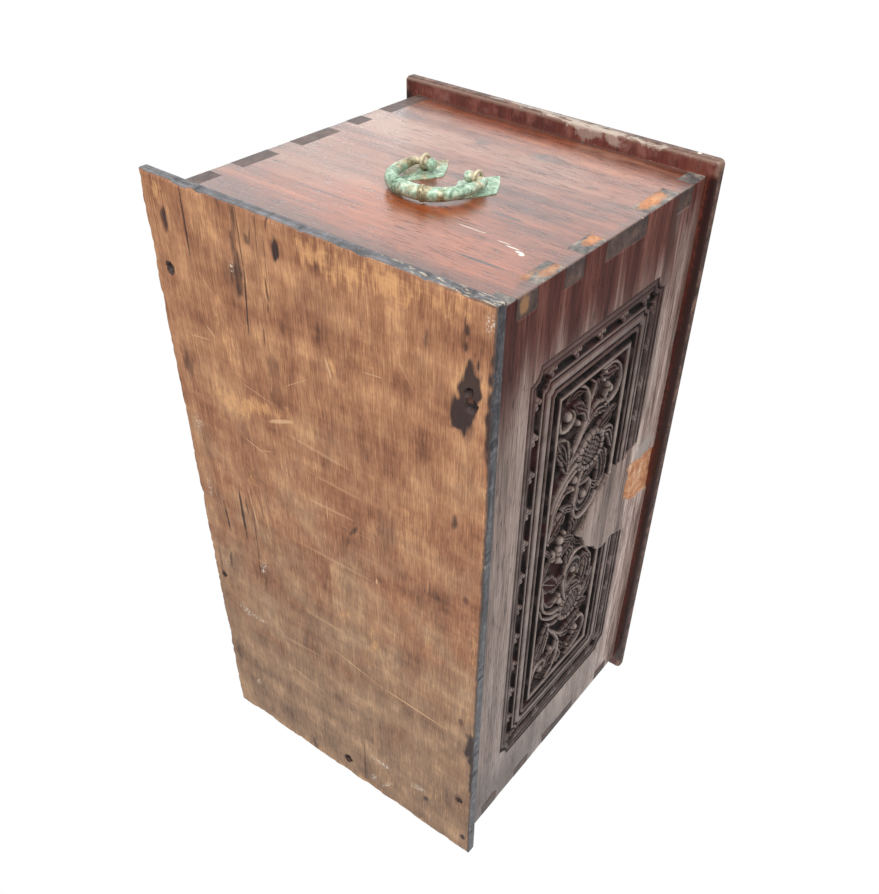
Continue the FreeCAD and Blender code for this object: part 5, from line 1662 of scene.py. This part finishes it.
metals = {"patinated_bronze": bronze("patinated_bronze", 0.55),
          "rubbed_bronze": bronze("rubbed_bronze", 0.36), "aged_brass": brass(), "iron": iron()}
metal_nodes = {
    "iron": ("bottom_nails", "lid_rail_nails"),
    "aged_brass": [n for n in nodes if "hinge" in n or n.endswith("leaf_nails")],
    "patinated_bronze": [n for n in nodes if "bail" in n or "lozenge" in n],
    "rubbed_bronze": [n for n in nodes if "split_pin" in n],
}
for metal, names in metal_nodes.items():
    print(metal, "on", len(names), "pieces")
    for name in names:
        dress(name, metals[metal])


# %% [markdown]
# The floor
# The chest rests on a pale floor that is seen from above only, so that it can also be shown
# from below, as when it is tipped up to look at its bottom. It gives off a little light of its
# own, so that it stays as white as the room, and neither shades nor lights the chest.

# %% Floor
FLOOR_DROP = 0.0004
FLOOR_HALF = 30.0
GLOW_SHARE = 0.55


def stage_floor():
    """A wide pale square just under the base, clear from below."""
    way = ((-1, -1), (1, -1), (1, 1), (-1, 1))
    points = [(FLOOR_HALF * x, FLOOR_HALF * y, -FLOOR_DROP) for x, y in way]
    floor = new_mesh("floor", points, [(0, 1, 2, 3)])
    material = bpy.data.materials.new("pale_floor")
    material.use_nodes = True
    tree = material.node_tree
    tree.nodes.clear()
    white = add(tree, "ShaderNodeBsdfDiffuse", {"Color": (0.9, 0.9, 0.9, 1)}).outputs[0]
    glow = add(tree, "ShaderNodeEmission", {"Color": (1, 1, 1, 1), "Strength": 1.0}).outputs[0]
    lit = add(tree, "ShaderNodeMixShader", {"Fac": GLOW_SHARE, 1: white, 2: glow}).outputs[0]
    clear = add(tree, "ShaderNodeBsdfTransparent").outputs[0]
    back = add(tree, "ShaderNodeNewGeometry").outputs["Backfacing"]
    both = add(tree, "ShaderNodeMixShader", {"Fac": back, 1: lit, 2: clear}).outputs[0]
    add(tree, "ShaderNodeOutputMaterial", {"Surface": both})
    floor.data.materials.append(material)
    floor.visible_shadow = False
    floor.visible_diffuse = False
    floor.visible_glossy = False
    print("floor:", 2 * FLOOR_HALF, "m square")


stage_floor()


# %% [markdown]
# Lights
# Soft light comes from all round, as in a white room with a window on the left. A large lamp
# low on the left lights the end and the bottom, and another behind the lid lifts the back. The
# camera sees plain white past the chest, and only its surfaces see the room's lighter side.

# %% Lamps and room
CHEST_MIDDLE = (0, 0, 0.15)
LAMP_SIZE = 1.5
# strengths of the room: its glow on dull surfaces, and what shines in glossy ones
SOFT_LEVEL = 0.75
WINDOW_LEVEL = 1.5
TABLE_LEVEL = 0.75
WALL_LEVEL = 0.2


def lamp(name, place, power):
    """A soft square lamp at a place, turned to the chest's middle."""
    light = bpy.data.lights.new(name, "AREA")
    light.size = LAMP_SIZE
    light.energy = power
    piece = bpy.data.objects.new(name, light)
    piece.location = place
    away = np.array(place) - np.array(CHEST_MIDDLE)
    flat = math.hypot(away[0], away[1])
    piece.rotation_euler = (math.atan2(flat, away[2]), 0, math.atan2(away[0], -away[1]))
    bpy.context.scene.collection.objects.link(piece)
    print(name, "lamp:", power, "W")


def white_room():
    """White to the camera; in glossy surfaces bright on the left, for a window, and on the right,
    for the pale table that the chest lies on."""
    world = bpy.data.worlds.new("studio")
    bpy.context.scene.world = world
    world.use_nodes = True
    tree = world.node_tree
    tree.nodes.clear()
    seen = add(tree, "ShaderNodeLightPath").outputs
    direct = sum_node(tree, "MAXIMUM", seen["Is Camera Ray"], seen["Is Transmission Ray"])
    way = add(tree, "ShaderNodeTexCoord").outputs["Generated"]
    toward_x = split(tree, way)[0]
    window = ramp(tree, toward_x, 0.2, -0.3, 0.0, WINDOW_LEVEL)
    table = ramp(tree, toward_x, 0.4, 0.85, 0.0, TABLE_LEVEL)
    room = plus(tree, plus(tree, window, table), WALL_LEVEL)
    soft = sum_node(tree, "MAXIMUM", times(tree, seen["Is Diffuse Ray"], SOFT_LEVEL),
                    sum_node(tree, "MULTIPLY", room, seen["Is Glossy Ray"]))
    level = sum_node(tree, "MAXIMUM", direct, soft)
    around = add(tree, "ShaderNodeBackground", {"Color": (1, 1, 1, 1), "Strength": level})
    add(tree, "ShaderNodeOutputWorld", {"Surface": around.outputs[0]})


lamp("key", (-1.9, -0.5, -0.5), 30)
lamp("back", (0.3, 1.5, 1.8), 26)
white_room()

# %% [markdown]
# Camera
# The camera looks up at the chest from below its left front corner and is rolled, so that the
# chest appears tipped up on its right end. Its shift moves the view without changing the
# perspective, as cropping would.

# %% Camera
CAMERA_PLACE = (-0.58824, -0.45028, -0.42704)
CAMERA_TURN = (140.9898, -35.4765, -93.1937)
LENS = 38.076
SENSOR_WIDTH = 36
SHIFT = (-0.05864, 0.08054)
CLIP_START = 0.01
camera_data = bpy.data.cameras.new("camera")
camera_data.lens = LENS
camera_data.sensor_width = SENSOR_WIDTH
camera_data.sensor_fit = "AUTO"
camera_data.shift_x, camera_data.shift_y = SHIFT
camera_data.clip_start = CLIP_START
camera = bpy.data.objects.new("camera", camera_data)
camera.location = CAMERA_PLACE
camera.rotation_euler = [math.radians(a) for a in CAMERA_TURN]
bpy.context.scene.collection.objects.link(camera)
bpy.context.scene.camera = camera
bpy.context.scene.view_settings.view_transform = "Standard"
print("camera at", CAMERA_PLACE, "lens", LENS, "mm")
